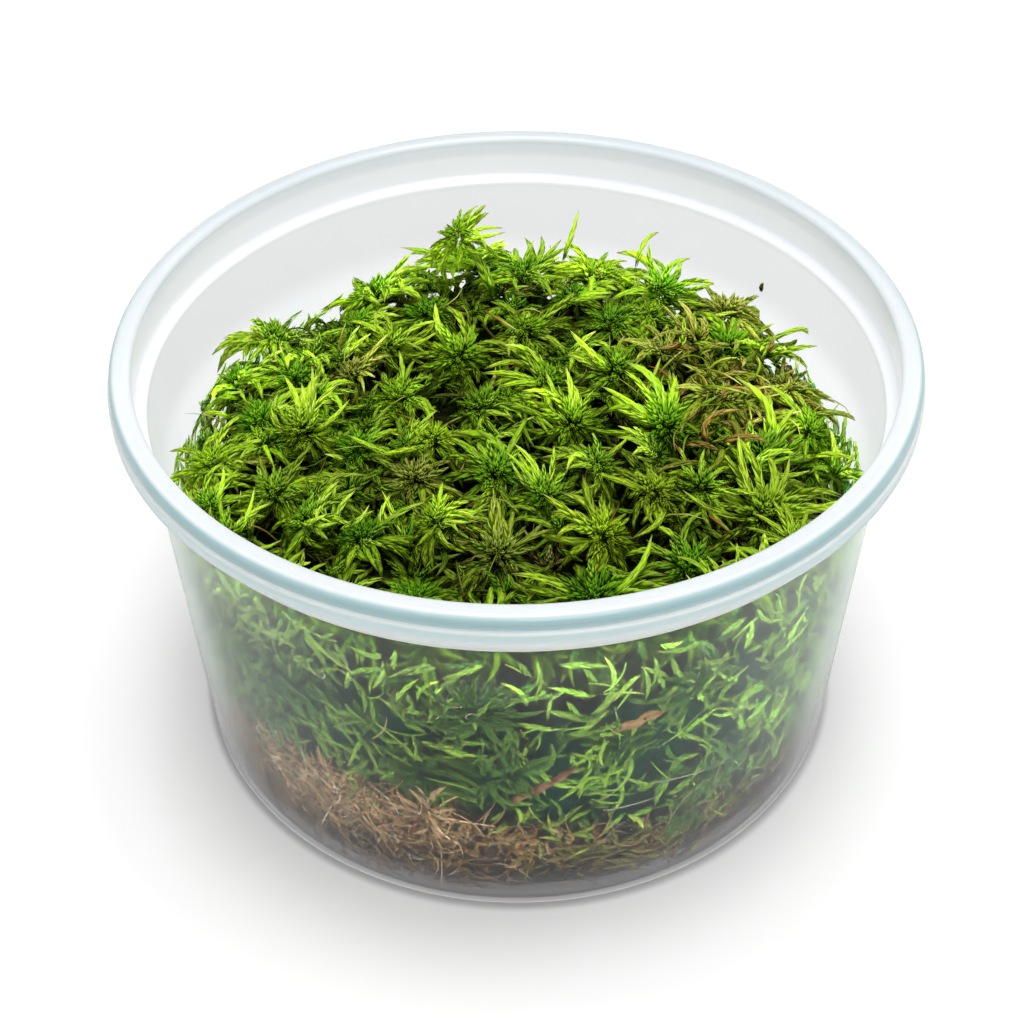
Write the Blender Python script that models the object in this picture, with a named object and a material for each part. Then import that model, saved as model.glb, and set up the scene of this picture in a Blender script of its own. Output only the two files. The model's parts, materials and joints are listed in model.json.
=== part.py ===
"""A clump of star-headed bog moss packed in its round translucent tub.

Lengths are in millimetres here and are turned into metres as each mesh is
made. The origin is the centre of the tub's foot, +Z is up and -Y is the side
that faces the viewer.
"""
import math
import random

import bmesh
import bpy
from mathutils import Euler, Vector
from mathutils.bvhtree import BVHTree
from mathutils.geometry import delaunay_2d_cdt

MM = 0.001
GAP = 0.3
REST_GAP = 0.4

# Tub: a tapered round food tub with a rolled rim
TUB_HEIGHT = 66.5
RIM_RADIUS = 58.5
LIP_INNER_RADIUS = 55.0
SKIRT_DEPTH = 4.5
LEDGE_HEIGHT = 59.2
LEDGE_RADIUS = 53.6
LEDGE_WIDTH = 2.0
FOOT_RADIUS = 49.6
FOOT_WIDTH = 3.2
FOOT_HEIGHT = 1.0
WALL = 0.7
FLOOR_TOP = 1.8
FLOOR_INNER_RADIUS = 49.7
TUB_SEGMENTS = 56

# Moss: the height that its tips reach, falling towards the wall
CROWN_HEIGHT = 55.5
EDGE_DROP = 9.0
MOSS_RADIUS = 50.0
HEAD_DEPTH = 4.6
HEAD_DROOP = 2.6
BRANCH_HALF_WIDTH = 1.05
EDGE_LEAN = 0.14
SPREAD = 2.0
CELL_MARGIN = 0.4
WALL_CLEARANCE = 1.6
BASE_CLEARANCE = 0.4
CLUMP_SEGMENTS = 40
SIDE_LEVELS = 4
EDGE_RADIUS = 48.0
MAT_DIP = 1.0
MAT_RISE = 2.2
MAT_DIP_RADIUS = 6.0
MAT_SPACING = 4.0
MAT_ROUGHNESS = 0.7
LITTER_SPACING = 12.0
LITTER_HEIGHT = 15.0
LITTER_RISE = 15.0
LITTER_RISE_ANGLE = math.radians(-125)
SEED = 11

# Star heads: centre x, centre y, longest reach of the branches, tone
HEADS = (
    (-22, 34, 7, "green"), (-15, 27, 5, "green"), (-25, 25, 5, "green"),
    (-20, 17, 6, "bright"), (-36, 22, 6, "green"), (-42, 14, 6, "green"),
    (-33, 11, 6, "green"), (-26, 10, 4, "olive"), (-17, 4, 7, "green"),
    (-9, 13, 7, "bright"), (-6, 2, 5, "green"), (-38, 2, 6, "green"),
    (-24, -8, 8, "green"), (-32, -5, 6, "bright"), (-12, -7, 6, "bright"),
    (-3, -14, 8, "green"), (-36, -15, 7, "green"), (-45, -6, 5, "green"),
    (-43, -15, 5, "green"), (-30, -23, 6, "green"), (-22, -27, 7, "green"),
    (-13, -24, 6, "bright"), (-34, -31, 5, "green"), (-24, -36, 5, "green"),
    (-14, -36, 6, "green"), (-14, -15, 5, "olive"), (-3, -31, 7, "olive"),
    (-5, -42, 5, "green"), (-8, 44, 5, "green"), (2, 37, 7, "green"),
    (13, 39, 8, "bright"), (24, 36, 6, "green"), (3, 23, 7, "bright"),
    (14, 23, 7, "green"), (6, 8, 8, "green"), (32, 18, 7, "green"),
    (23, 15, 5, "olive"), (34, 30, 6, "olive"), (16, 12, 6, "green"),
    (42, 10, 5, "olive"), (44, -1, 6, "green"), (33, 5, 6, "olive"),
    (22, -4, 8, "green"), (10, -4, 6, "bright"), (13, -12, 6, "green"),
    (5, -20, 7, "green"), (19, -18, 6, "bright"), (13, -27, 7, "bright"),
    (36, -9, 7, "green"), (34, -20, 7, "bright"), (24, -31, 6, "green"),
    (10, -37, 6, "green"),
)

# The one shoot that stands clear of the rest, at the back left
TALL_SHOOT_HEAD = (-9.5, 36.0, 61.5)
TALL_SHOOT_REACH = 7.2
TALL_SHOOT_LEAN = (math.radians(8), math.radians(-38), 0.0)
TALL_SHOOT_BEND = 9.0
TALL_SHOOT_FOOT = (-3.5, 31.5)
STEM_RADIUS = 0.9

TONES = {
    "green": (0.10, 0.25, 0.03),
    "bright": (0.27, 0.42, 0.06),
    "olive": (0.23, 0.20, 0.07),
}


def make_material(name, colour, roughness, alpha=1.0):
    """A Principled material with one colour and one roughness."""
    material = bpy.data.materials.new(name)
    material.use_nodes = True
    shader = material.node_tree.nodes["Principled BSDF"]
    shader.inputs["Base Color"].default_value = (*colour, 1.0)
    shader.inputs["Roughness"].default_value = roughness
    shader.inputs["Metallic"].default_value = 0.0
    shader.inputs["Alpha"].default_value = alpha
    return material


def make_object(name, points, faces, material, smooth=False):
    """One closed mesh object from points in millimetres and their faces."""
    mesh = bpy.data.meshes.new(name)
    mesh.from_pydata([Vector(p) * MM for p in points], [], faces)
    shape = bmesh.new()
    shape.from_mesh(mesh)
    bmesh.ops.recalc_face_normals(shape, faces=shape.faces)
    bmesh.ops.triangulate(shape, faces=shape.faces)
    shape.to_mesh(mesh)
    shape.free()
    if smooth:
        mesh.shade_smooth()
        mesh.set_sharp_from_angle(angle=math.radians(40))
    mesh.materials.append(material)
    thing = bpy.data.objects.new(name, mesh)
    bpy.context.collection.objects.link(thing)
    return thing


def inner_wall(height):
    """Radius of the tub's inner wall at a height above the foot."""
    share = (height - FLOOR_TOP) / (LEDGE_HEIGHT - FLOOR_TOP)
    return FLOOR_INNER_RADIUS + (LEDGE_RADIUS - FLOOR_INNER_RADIUS) * share


def tub_profile():
    """The tub's section as (radius, height) points, from its underside up the
    outside, over the rim and down the inside to the floor."""
    skirt_bottom = TUB_HEIGHT - SKIRT_DEPTH
    collar_radius = LEDGE_RADIUS + LEDGE_WIDTH + WALL
    return (
        (FOOT_RADIUS - FOOT_WIDTH - FOOT_HEIGHT, FOOT_HEIGHT),
        (FOOT_RADIUS - FOOT_WIDTH, 0.0),
        (FOOT_RADIUS, 0.0),
        (FLOOR_INNER_RADIUS + WALL, 0.9),
        (LEDGE_RADIUS + WALL, LEDGE_HEIGHT - WALL),
        (collar_radius, LEDGE_HEIGHT - WALL + 0.3),
        (collar_radius, TUB_HEIGHT - 1.0),
        (RIM_RADIUS - 0.8, TUB_HEIGHT - 1.1),
        (RIM_RADIUS - 0.8, skirt_bottom),
        (RIM_RADIUS, skirt_bottom),
        (RIM_RADIUS, skirt_bottom + 2.1),
        (RIM_RADIUS - 0.3, skirt_bottom + 2.3),
        (RIM_RADIUS - 0.3, TUB_HEIGHT - 0.7),
        (RIM_RADIUS - 1.0, TUB_HEIGHT),
        (LIP_INNER_RADIUS + 0.6, TUB_HEIGHT),
        (LIP_INNER_RADIUS, TUB_HEIGHT - 0.5),
        (LEDGE_RADIUS + LEDGE_WIDTH, LEDGE_HEIGHT + 0.3),
        (LEDGE_RADIUS, LEDGE_HEIGHT),
        (FLOOR_INNER_RADIUS, FLOOR_TOP + 0.6),
        (FLOOR_INNER_RADIUS - 0.8, FLOOR_TOP),
    )


def make_tub(material):
    """Turn the section into a closed tub, with flat centres above and below."""
    profile = tub_profile()
    count = len(profile)
    points = []
    for step in range(TUB_SEGMENTS):
        angle = 2 * math.pi * step / TUB_SEGMENTS
        for radius, height in profile:
            points.append((radius * math.cos(angle), radius * math.sin(angle), height))
    under = len(points)
    points.append((0.0, 0.0, FOOT_HEIGHT))
    floor = len(points)
    points.append((0.0, 0.0, FLOOR_TOP))
    faces = []
    for step in range(TUB_SEGMENTS):
        here = step * count
        after = (step + 1) % TUB_SEGMENTS * count
        for level in range(count - 1):
            faces.append((here + level, after + level, after + level + 1, here + level + 1))
        faces.append((under, after, here))
        faces.append((floor, here + count - 1, after + count - 1))
    return make_object("tub", points, faces, material, smooth=True)


def tip_height(x, y):
    """Height that the moss tips reach above the foot."""
    share = math.hypot(x, y) / MOSS_RADIUS
    return CROWN_HEIGHT - EDGE_DROP * min(share, 1.0) ** 4


def ripple(x, y, size):
    """Gentle unevenness of the clump, between about -1 and 1."""
    wave = math.sin(x / size + 1.3) + math.sin(y / size * 1.2 + 0.4)
    return 0.35 * (wave + math.sin((x - y) / size * 0.8))


def litter_height(x, y):
    """Height where living moss gives way to brown dead moss. It is highest
    against the wall at the front left."""
    radius = math.hypot(x, y) / MOSS_RADIUS
    toward = math.cos(math.atan2(y, x) - LITTER_RISE_ANGLE)
    rise = LITTER_RISE * radius * max(toward, 0.0) ** 2
    return LITTER_HEIGHT + rise + 1.2 * ripple(x, y, 9.0)


def clump_side(height, angle):
    """Radius of the clump's side, just inside the tub's wall."""
    dent = 0.3 + 0.3 * math.sin(5 * angle + height / 4.0)
    return inner_wall(height) - WALL_CLEARANCE - dent


def disc_sheet(surface, edge, spacing, roughness):
    """Points scattered evenly over a disc, with their heights, and the
    triangles between them. The first points are the edge, in order."""
    rng = random.Random(SEED)
    spots = [Vector((x, y)) for x, y, _ in edge]
    row_height = spacing * math.sqrt(3) / 2
    rows = int(MOSS_RADIUS / row_height)
    for row in range(-rows, rows + 1):
        for column in range(-rows, rows + 1):
            x = (column + 0.5 * (row % 2) + rng.uniform(-0.25, 0.25)) * spacing
            y = (row + rng.uniform(-0.25, 0.25)) * row_height
            angle = math.atan2(y, x)
            rim = edge[int(angle / (2 * math.pi) * len(edge)) % len(edge)]
            if math.hypot(x, y) < math.hypot(rim[0], rim[1]) - 0.7 * spacing:
                spots.append(Vector((x, y)))
    flat = delaunay_2d_cdt(spots, [], [], 0, 0.001)
    points = list(edge)
    for x, y in flat[0][len(edge):]:
        points.append((x, y, surface(x, y) + rng.uniform(-roughness, roughness)))
    return points, [tuple(face) for face in flat[2]]


def make_clump(name, bottom, top, spacing, roughness, material):
    """A round slab of moss between two height functions, with a wavy side.

    Each of spacing and roughness is a pair, for the bottom and the top."""
    angles = [2 * math.pi * step / CLUMP_SEGMENTS for step in range(CLUMP_SEGMENTS)]
    levels = []
    for share in range(SIDE_LEVELS + 1):
        ring = []
        for angle in angles:
            rim = (EDGE_RADIUS * math.cos(angle), EDGE_RADIUS * math.sin(angle))
            high = top(*rim)
            height = high + (bottom(*rim) - high) * share / SIDE_LEVELS
            radius = clump_side(height, angle)
            ring.append((radius * math.cos(angle), radius * math.sin(angle), height))
        levels.append(ring)
    points, faces = disc_sheet(top, levels[0], spacing[1], roughness[1])
    starts = [0]
    for ring in levels[1:-1]:
        starts.append(len(points))
        points.extend(ring)
    starts.append(len(points))
    under_points, under_faces = disc_sheet(bottom, levels[-1], spacing[0], roughness[0])
    for face in under_faces:
        faces.append(tuple(starts[-1] + corner for corner in reversed(face)))
    points.extend(under_points)
    for here, below in zip(starts, starts[1:]):
        for step in range(CLUMP_SEGMENTS):
            after = (step + 1) % CLUMP_SEGMENTS
            faces.append((here + step, below + step, below + after))
            faces.append((here + step, below + after, here + after))
    return make_object(name, points, faces, material)


def mat_top(x, y):
    """Upper surface of the mat of stems and side shoots. It dips under each
    head and rises between them."""
    nearest = min(math.hypot(x - head[0], y - head[1]) for head in HEADS)
    rise = MAT_RISE * min(nearest / MAT_DIP_RADIUS, 1.0) ** 2
    return tip_height(x, y) - HEAD_DEPTH - MAT_DIP + rise


def mat_bottom(x, y):
    return litter_height(x, y) + GAP / 2


def litter_top(x, y):
    return litter_height(x, y) - GAP / 2


def litter_bottom(x, y):
    return FLOOR_TOP + BASE_CLEARANCE


def head_mesh(reach, branches, rng, stem):
    """A star of drooping tapered branches round a domed tuft.

    reach gives how far a branch may go at an angle. The last point of stem is
    where the stem ends below the tuft, and any points before it are centres of
    rings along the way.
    """
    points = []
    rows = {}

    def add(row, radius, angle, height):
        rows.setdefault(row, []).append(len(points))
        points.append((radius * math.cos(angle), radius * math.sin(angle), height))

    turn = 2 * math.pi / branches
    core = min(reach(turn * step / 2) for step in range(2 * branches))
    for index in range(branches):
        angle = turn * (index + rng.uniform(-0.1, 0.1))
        length = reach(angle) * rng.uniform(0.92, 1.0)
        half_turn = BRANCH_HALF_WIDTH / (0.6 * length)
        add("crown", 0.34 * core, angle, -0.5)
        add("ridge", 0.6 * length, angle, -0.1)
        add("right", 0.58 * length, angle - half_turn, -1.0)
        add("left", 0.58 * length, angle + half_turn, -1.0)
        add("tip", length, angle, -HEAD_DROOP * rng.uniform(0.6, 1.1))
        add("valley", 0.4 * core, turn * (index + 0.5), -1.6)
    pole = len(points)
    points.append((0.0, 0.0, 0.0))
    faces = []
    for index in range(branches):
        crown, ridge, tip = (rows[row][index] for row in ("crown", "ridge", "tip"))
        right, left = (rows[row][index] for row in ("right", "left"))
        valley_right = rows["valley"][index - 1]
        valley_left = rows["valley"][index]
        next_crown = rows["crown"][(index + 1) % branches]
        faces.extend((
            (pole, crown, next_crown), (crown, valley_left, next_crown),
            (crown, ridge, left), (crown, left, valley_left),
            (crown, right, ridge), (crown, valley_right, right),
            (ridge, tip, left), (ridge, right, tip), (right, left, tip),
            (right, valley_right, left), (valley_right, valley_left, left),
        ))
    ring = rows["valley"]
    for centre in stem[:-1]:
        next_ring = []
        for index in range(branches):
            angle = turn * (index + 0.5)
            offset = Vector((math.cos(angle), math.sin(angle), 0.0)) * STEM_RADIUS
            next_ring.append(len(points))
            points.append(tuple(Vector(centre) + offset))
        for index in range(branches):
            after = (index + 1) % branches
            faces.append((ring[index], next_ring[index], next_ring[after], ring[after]))
        ring = next_ring
    end = len(points)
    points.append(stem[-1])
    for index in range(branches):
        faces.append((ring[index], end, ring[(index + 1) % branches]))
    return points, faces


def cell_reach(index, turned):
    """How far the branches of a head may go at each angle, so that they fill
    its share of the clump and stop short of its neighbours and the wall.
    turned is the angle that the head is turned by."""
    x, y, longest, _ = HEADS[index]
    wall = inner_wall(tip_height(x, y)) - 2 * GAP

    def reach(angle):
        toward_x = math.cos(angle + turned)
        toward_y = math.sin(angle + turned)
        along = x * toward_x + y * toward_y
        room = math.sqrt(along ** 2 + wall ** 2 - x ** 2 - y ** 2) - along
        for other, (other_x, other_y, _, _) in enumerate(HEADS):
            if other == index:
                continue
            away_x = other_x - x
            away_y = other_y - y
            facing = away_x * toward_x + away_y * toward_y
            if facing > 0:
                apart = math.hypot(away_x, away_y)
                room = min(room, (apart / 2 - CELL_MARGIN) * apart / facing)
        return min(room, longest + SPREAD)

    return reach


def surface_tree(thing):
    """A search tree over an object's faces, to measure heights above it."""
    return BVHTree.FromPolygons(
        [vertex.co for vertex in thing.data.vertices],
        [tuple(face.vertices) for face in thing.data.polygons])


def room_below(tree, spot):
    """How far a point in metres is above the surface, or None beside it."""
    hit = tree.ray_cast(spot, Vector((0.0, 0.0, -1.0)))[0]
    return None if hit is None else spot.z - hit.z


def place_head(head, tree, x, y):
    """Lower a head until it rests just above the mat of stems."""
    turn = head.rotation_euler.to_matrix()
    start = Vector((x, y, 2 * TUB_HEIGHT)) * MM
    rooms = [room_below(tree, start + turn @ vertex.co) for vertex in head.data.vertices]
    drop = min(room for room in rooms if room is not None) - REST_GAP * MM
    head.location = start - Vector((0.0, 0.0, drop))


def make_heads(tree, materials):
    """One star head for each place in HEADS, standing on the mat."""
    rng = random.Random(SEED)
    for index, (x, y, _, tone) in enumerate(HEADS):
        turned = rng.uniform(0.0, math.pi)
        reach = cell_reach(index, turned)
        branches = 8 if index % 3 else 7
        points, faces = head_mesh(reach, branches, rng, [(0.0, 0.0, -HEAD_DEPTH)])
        name = "moss_head_%02d" % (index + 1)
        head = make_object(name, points, faces, materials[tone])
        lean = EDGE_LEAN * math.hypot(x, y) / MOSS_RADIUS
        outward = math.atan2(y, x)
        head.rotation_euler = Euler((
            -lean * math.sin(outward) + rng.uniform(-0.04, 0.04),
            lean * math.cos(outward) + rng.uniform(-0.04, 0.04),
            turned))
        place_head(head, tree, x, y)


def make_tall_shoot(tree, material):
    """The shoot that leans up out of the clump, with its stem curving down to
    the mat. The stem's points are worked out in the head's own frame."""
    head_place = Vector(TALL_SHOOT_HEAD)
    lean = Euler(TALL_SHOOT_LEAN)
    to_head = lean.to_matrix().inverted()
    down = lean.to_matrix() @ Vector((0.0, 0.0, -1.0))
    bend = head_place + down * TALL_SHOOT_BEND
    foot = Vector((*TALL_SHOOT_FOOT, TUB_HEIGHT))
    foot.z += REST_GAP - room_below(tree, foot * MM) / MM
    stem = []
    for step in range(4):
        share = 0.35 + 0.65 * step / 3
        start = head_place * (1 - share) ** 2
        middle = bend * 2 * share * (1 - share)
        stem.append(tuple(to_head @ (start + middle + foot * share ** 2 - head_place)))
    rng = random.Random(SEED + 1)
    points, faces = head_mesh(lambda angle: TALL_SHOOT_REACH, 8, rng, stem)
    shoot = make_object("tall_shoot", points, faces, material)
    shoot.rotation_euler = lean
    shoot.location = head_place * MM


def make_wall_scrap(name, start, end, half_width, curl, material):
    """A thin pointed scrap lying against the inside of the wall.

    start and end are (angle in degrees, height), and curl bows the scrap.
    """
    steps = 7
    inner = []
    outer = []
    for step in range(steps + 1):
        share = step / steps
        angle = math.radians(start[0] + (end[0] - start[0]) * share)
        height = start[1] + (end[1] - start[1]) * share + curl * math.sin(math.pi * share)
        spread = half_width * (0.25 + 0.75 * math.sin(math.pi * (0.1 + 0.8 * share)))
        for side in (-1, 1):
            level = height + side * spread
            for row, depth in ((outer, 0.45), (inner, 1.2)):
                radius = inner_wall(level) - depth
                row.append((radius * math.cos(angle), radius * math.sin(angle), level))
    points = outer + inner
    back = len(outer)
    faces = []
    for step in range(steps):
        low = 2 * step
        faces.append((low, low + 2, low + 3, low + 1))
        faces.append((back + low, back + low + 1, back + low + 3, back + low + 2))
        faces.append((low, back + low, back + low + 2, low + 2))
        faces.append((low + 1, low + 3, back + low + 3, back + low + 1))
    last = 2 * steps
    faces.append((0, 1, back + 1, back))
    faces.append((last, back + last, back + last + 1, last + 1))
    make_object(name, points, faces, material)


def main():
    for thing in list(bpy.data.objects):
        bpy.data.objects.remove(thing, do_unlink=True)
    tub_plastic = make_material("tub_plastic", (0.80, 0.85, 0.87), 0.35, alpha=0.4)
    litter_brown = make_material("litter_brown", (0.13, 0.08, 0.04), 0.9)
    bark_brown = make_material("bark_brown", (0.22, 0.08, 0.05), 0.8)
    stems_green = make_material("stems_green", (0.05, 0.11, 0.02), 0.8)
    tones = {tone: make_material("moss_" + tone, colour, 0.6) for tone, colour in TONES.items()}
    make_tub(tub_plastic)
    make_clump("dead_moss", litter_bottom, litter_top, (30.0, LITTER_SPACING), (0.0, 0.0),
               litter_brown)
    mat = make_clump("moss_mat", mat_bottom, mat_top, (LITTER_SPACING, MAT_SPACING),
                     (0.0, MAT_ROUGHNESS), stems_green)
    tree = surface_tree(mat)
    make_heads(tree, tones)
    make_tall_shoot(tree, tones["bright"])
    make_wall_scrap("bark_sliver", (-91, 29), (-80, 26), 0.9, 1.0, bark_brown)
    make_wall_scrap("dead_frond", (-108, 21), (-104, 30), 1.4, 0.5, litter_brown)
    make_wall_scrap("brown_leaf", (-73, 38), (-66, 40), 1.1, 0.6, bark_brown)


main()
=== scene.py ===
# %% [markdown]
# # A clump of bog moss in its tub
#
# The object is a handful of live star-headed bog moss, packed in a round tub
# of milky plastic. Seen from above it is a carpet of small green stars. Each
# star is the head of one plant: a tight dark tuft in the middle, and a dozen
# tapered branches that arch out of it, each branch covered with tiny pointed
# leaves. Through the wall of the tub show the stems that hang below the
# heads, and brown dead moss at the bottom.
#
# The solids that a workshop would measure come ready made from the frame:
# a tub, a mat, a bed of dead moss and one plain star for every head. This
# script dresses them. It never moves one, it only hides a plain solid where
# a finer piece stands in its place.

# %% Load the frame
import json
import math

import bmesh
import bpy
import numpy as np
from mathutils import Euler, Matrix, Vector


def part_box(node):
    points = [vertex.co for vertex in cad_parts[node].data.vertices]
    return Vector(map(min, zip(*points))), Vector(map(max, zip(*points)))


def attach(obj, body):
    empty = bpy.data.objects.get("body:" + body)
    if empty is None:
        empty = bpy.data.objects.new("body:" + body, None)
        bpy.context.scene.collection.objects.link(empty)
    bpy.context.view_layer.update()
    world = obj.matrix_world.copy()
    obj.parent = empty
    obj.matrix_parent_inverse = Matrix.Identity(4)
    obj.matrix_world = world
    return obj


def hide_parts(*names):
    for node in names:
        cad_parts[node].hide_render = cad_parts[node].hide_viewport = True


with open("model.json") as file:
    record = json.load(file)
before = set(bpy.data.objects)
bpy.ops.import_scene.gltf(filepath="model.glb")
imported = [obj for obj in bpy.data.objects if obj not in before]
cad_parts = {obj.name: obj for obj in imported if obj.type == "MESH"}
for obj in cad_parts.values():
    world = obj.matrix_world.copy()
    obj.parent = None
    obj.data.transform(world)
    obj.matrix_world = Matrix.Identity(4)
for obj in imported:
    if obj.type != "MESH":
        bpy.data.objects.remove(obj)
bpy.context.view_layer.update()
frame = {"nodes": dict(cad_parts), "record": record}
bpy.ops.object.select_all(action="DESELECT")
MM = 0.001
slots = {part["node"]: part["material_slot"] for part in frame["record"]["subparts"]}
heads = sorted(name for name in frame["nodes"] if name.startswith("moss_head"))
print("frame:", len(frame["nodes"]), "nodes,", len(heads), "of them moss heads")

# %% [markdown]
# ## Shader maths that reads like maths
#
# A material in Blender is a graph of nodes. Wiring every Add and Multiply by
# hand hides the idea, so a small class wraps a node's output and turns
# Python's own operators into Math nodes. `1 - mask` then builds a Subtract
# node. Colours don't go through Math nodes, which would turn them grey: they
# go through Mix nodes instead. One method, `node`, can make any node there is.

# %% A socket that does sums
class Wire:
    """An output socket of a material's node, with arithmetic."""

    def __init__(self, shade, socket):
        self.shade = shade
        self.socket = socket

    def _math(self, operation, *values):
        """A Math node: each operator below is one."""
        return self.shade.node("ShaderNodeMath", {"operation": operation}, *values)

    def __add__(self, other):
        return self._math("ADD", self, other)

    def __sub__(self, other):
        return self._math("SUBTRACT", self, other)

    def __rsub__(self, other):
        return self._math("SUBTRACT", other, self)

    def __mul__(self, other):
        return self._math("MULTIPLY", self, other)

    def __pow__(self, other):
        return self._math("POWER", self, other)

    __radd__ = __add__
    __rmul__ = __mul__

    def clamp(self):
        """Kept between 0 and 1."""
        return self._math("MINIMUM", self._math("MAXIMUM", self, 0.0), 1.0)

    def over(self, low, high):
        """0 below low, 1 above high and smooth between them."""
        return self.shade.node("ShaderNodeMapRange", {"interpolation_type": "SMOOTHSTEP"},
                               self, low, high, 0.0, 1.0)


print("helper: a wire for sums")

# %% A material that makes nodes
class Shade:
    """A node material round one Principled shader."""

    def __init__(self, name, **settings):
        self.material = bpy.data.materials.new(name)
        self.material.use_nodes = True
        self.tree = self.material.node_tree
        self.shader = self.tree.nodes["Principled BSDF"]
        self.paint(**settings)

    def paint(self, **values):
        """Numbers or wires for the shader's sockets, such as base_color."""
        for name, value in values.items():
            socket = name.replace("_", " ").title().replace("Ior", "IOR")
            self.feed(self.shader.inputs[socket], value)

    def node(self, kind, settings=None, *values, out=0, **named):
        """Any node: its type, its settings, then what its sockets get."""
        made = self.tree.nodes.new(kind)
        for key, value in (settings or {}).items():
            if key == "stops":
                ramp = made.color_ramp
                while len(ramp.elements) < len(value):
                    ramp.elements.new(1.0)
                for element, (place, colour) in zip(ramp.elements, value):
                    element.position = place
                    element.color = (*colour, 1.0)
            else:
                setattr(made, key, value)
        inputs = [socket for socket in made.inputs if socket.enabled]
        for socket, value in zip(inputs, values):
            self.feed(socket, value)
        for key, value in named.items():
            self.feed(made.inputs[key], value)
        return Wire(self, [socket for socket in made.outputs if socket.enabled][out])

    def feed(self, socket, value):
        """Link a wire to a socket, or set the socket to a number."""
        if isinstance(value, Wire):
            self.tree.links.new(value.socket, socket)
        elif value is not None:
            socket.default_value = value

    def place(self):
        """Where a point is on the object, in metres."""
        return self.node("ShaderNodeTexCoord", out=3)

    def axis(self, place, index):
        """One coordinate of a place: 0 to the right, 1 back, 2 up."""
        return self.node("ShaderNodeSeparateXYZ", {}, place, out=index)

    def length(self, place):
        """How far a place is from the middle of the object's foot."""
        return self.node("ShaderNodeVectorMath", {"operation": "LENGTH"}, place)

    def noise(self, place, scale, detail, roughness):
        """A cloudy pattern in space, from 0 to 1."""
        return self.node("ShaderNodeTexNoise", {}, Vector=place, Scale=scale,
                         Detail=detail, Roughness=roughness)

    def stretch(self, place, scale):
        """The place with its three axes scaled, for a drawn-out pattern."""
        return self.node("ShaderNodeMapping", {}, Vector=place, Scale=scale)

    def ramp(self, amount, *stops):
        """A colour read off a row of (place, colour) stops."""
        return self.node("ShaderNodeValToRGB", {"stops": stops}, amount)

    def mix(self, amount, first, second, blend="MIX"):
        """One colour turned into another by an amount from 0 to 1."""
        def colour(value):
            return value if isinstance(value, Wire) else (*value, 1.0)
        return self.node("ShaderNodeMix", {"data_type": "RGBA", "blend_type": blend},
                         amount, colour(first), colour(second))

    def attribute(self, name):
        """The four numbers that a mesh carries under a name."""
        colour = self.node("ShaderNodeAttribute", {"attribute_name": name})
        fourth = colour.socket.node.outputs["Alpha"]
        parts = self.node("ShaderNodeSeparateColor", {}, colour).socket.node.outputs
        return [Wire(self, socket) for socket in (*parts, fourth)]

    def bump(self, height, strength, distance):
        """Small relief from a height in the range 0 to 1."""
        self.paint(normal=self.node("ShaderNodeBump", {}, Height=height,
                                    Strength=strength, Distance=distance))


print("helper: a shade for materials")

# %% [markdown]
# ## The camera, the floor and the light
#
# The camera looks down at the tub at about 41 degrees from a hand's length
# away, so the round rim becomes a wide ellipse. It comes first, because every
# later choice is judged through it. The floor is a pale sheet that gives off
# some light of its own, a painted glow that keeps it white. Under the tub and
# just round its foot the glow is painted almost black, a painted contact
# shadow, which also keeps it from shining up through the plastic, and out to
# 78 mm it is a touch dimmer, a painted soft shadow. The light is what a
# product photographer would use: one large soft panel above, a weaker one in
# front, and a white room for the plastic to mirror.

# %% Camera
AIM = Vector((-0.8, 0.0, 32.7)) * MM
ELEVATION = math.radians(41.35)
DISTANCE = 301.4 * MM
LENS = 68.2
ROLL = math.radians(-0.53)

back = Vector((0.0, -math.cos(ELEVATION), math.sin(ELEVATION)))
camera_data = bpy.data.cameras.new("camera")
camera_data.lens = LENS
camera_data.sensor_width = 36.0
camera_data.clip_start = 0.01
camera = bpy.data.objects.new("camera", camera_data)
camera.location = AIM + back * DISTANCE
camera.rotation_mode = "QUATERNION"
turned = (-back).to_track_quat("-Z", "Y").to_euler()
turned.rotate_axis("Z", ROLL)
camera.rotation_quaternion = turned.to_quaternion()
bpy.context.scene.collection.objects.link(camera)
bpy.context.scene.camera = camera
print("camera:", [round(value, 3) for value in camera.location], "metres")

# %% Floor
TUB_EDGE = 50.0
GLOW_FROM = 51.8
SOFT_SHADOW_END = 78.0
bpy.ops.mesh.primitive_plane_add(size=6.0, location=(0.0, 0.0, 0.0))
floor = bpy.context.object
floor.name = "floor"
paper = Shade("floor_paper", base_color=(0.50, 0.50, 0.50, 1.0), roughness=0.9,
              emission_strength=0.40)
away = paper.length(paper.place())
# The floor's glow is painted a touch dimmer out to 78 mm, a painted soft shadow round the tub, and
# almost black under it and just round its foot, a painted contact shadow.
glow_with_painted_shadow = paper.mix(away.over(TUB_EDGE * MM, SOFT_SHADOW_END * MM), (0.96, 0.96, 0.96), (1.0, 1.0, 1.0))
glow_with_painted_shadow = paper.mix(away.over(TUB_EDGE * MM, GLOW_FROM * MM), (0.02, 0.02, 0.02), glow_with_painted_shadow)
paper.paint(emission_color=glow_with_painted_shadow)
floor.data.materials.append(paper.material)
print("floor: white from", SOFT_SHADOW_END, "mm outwards")

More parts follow.
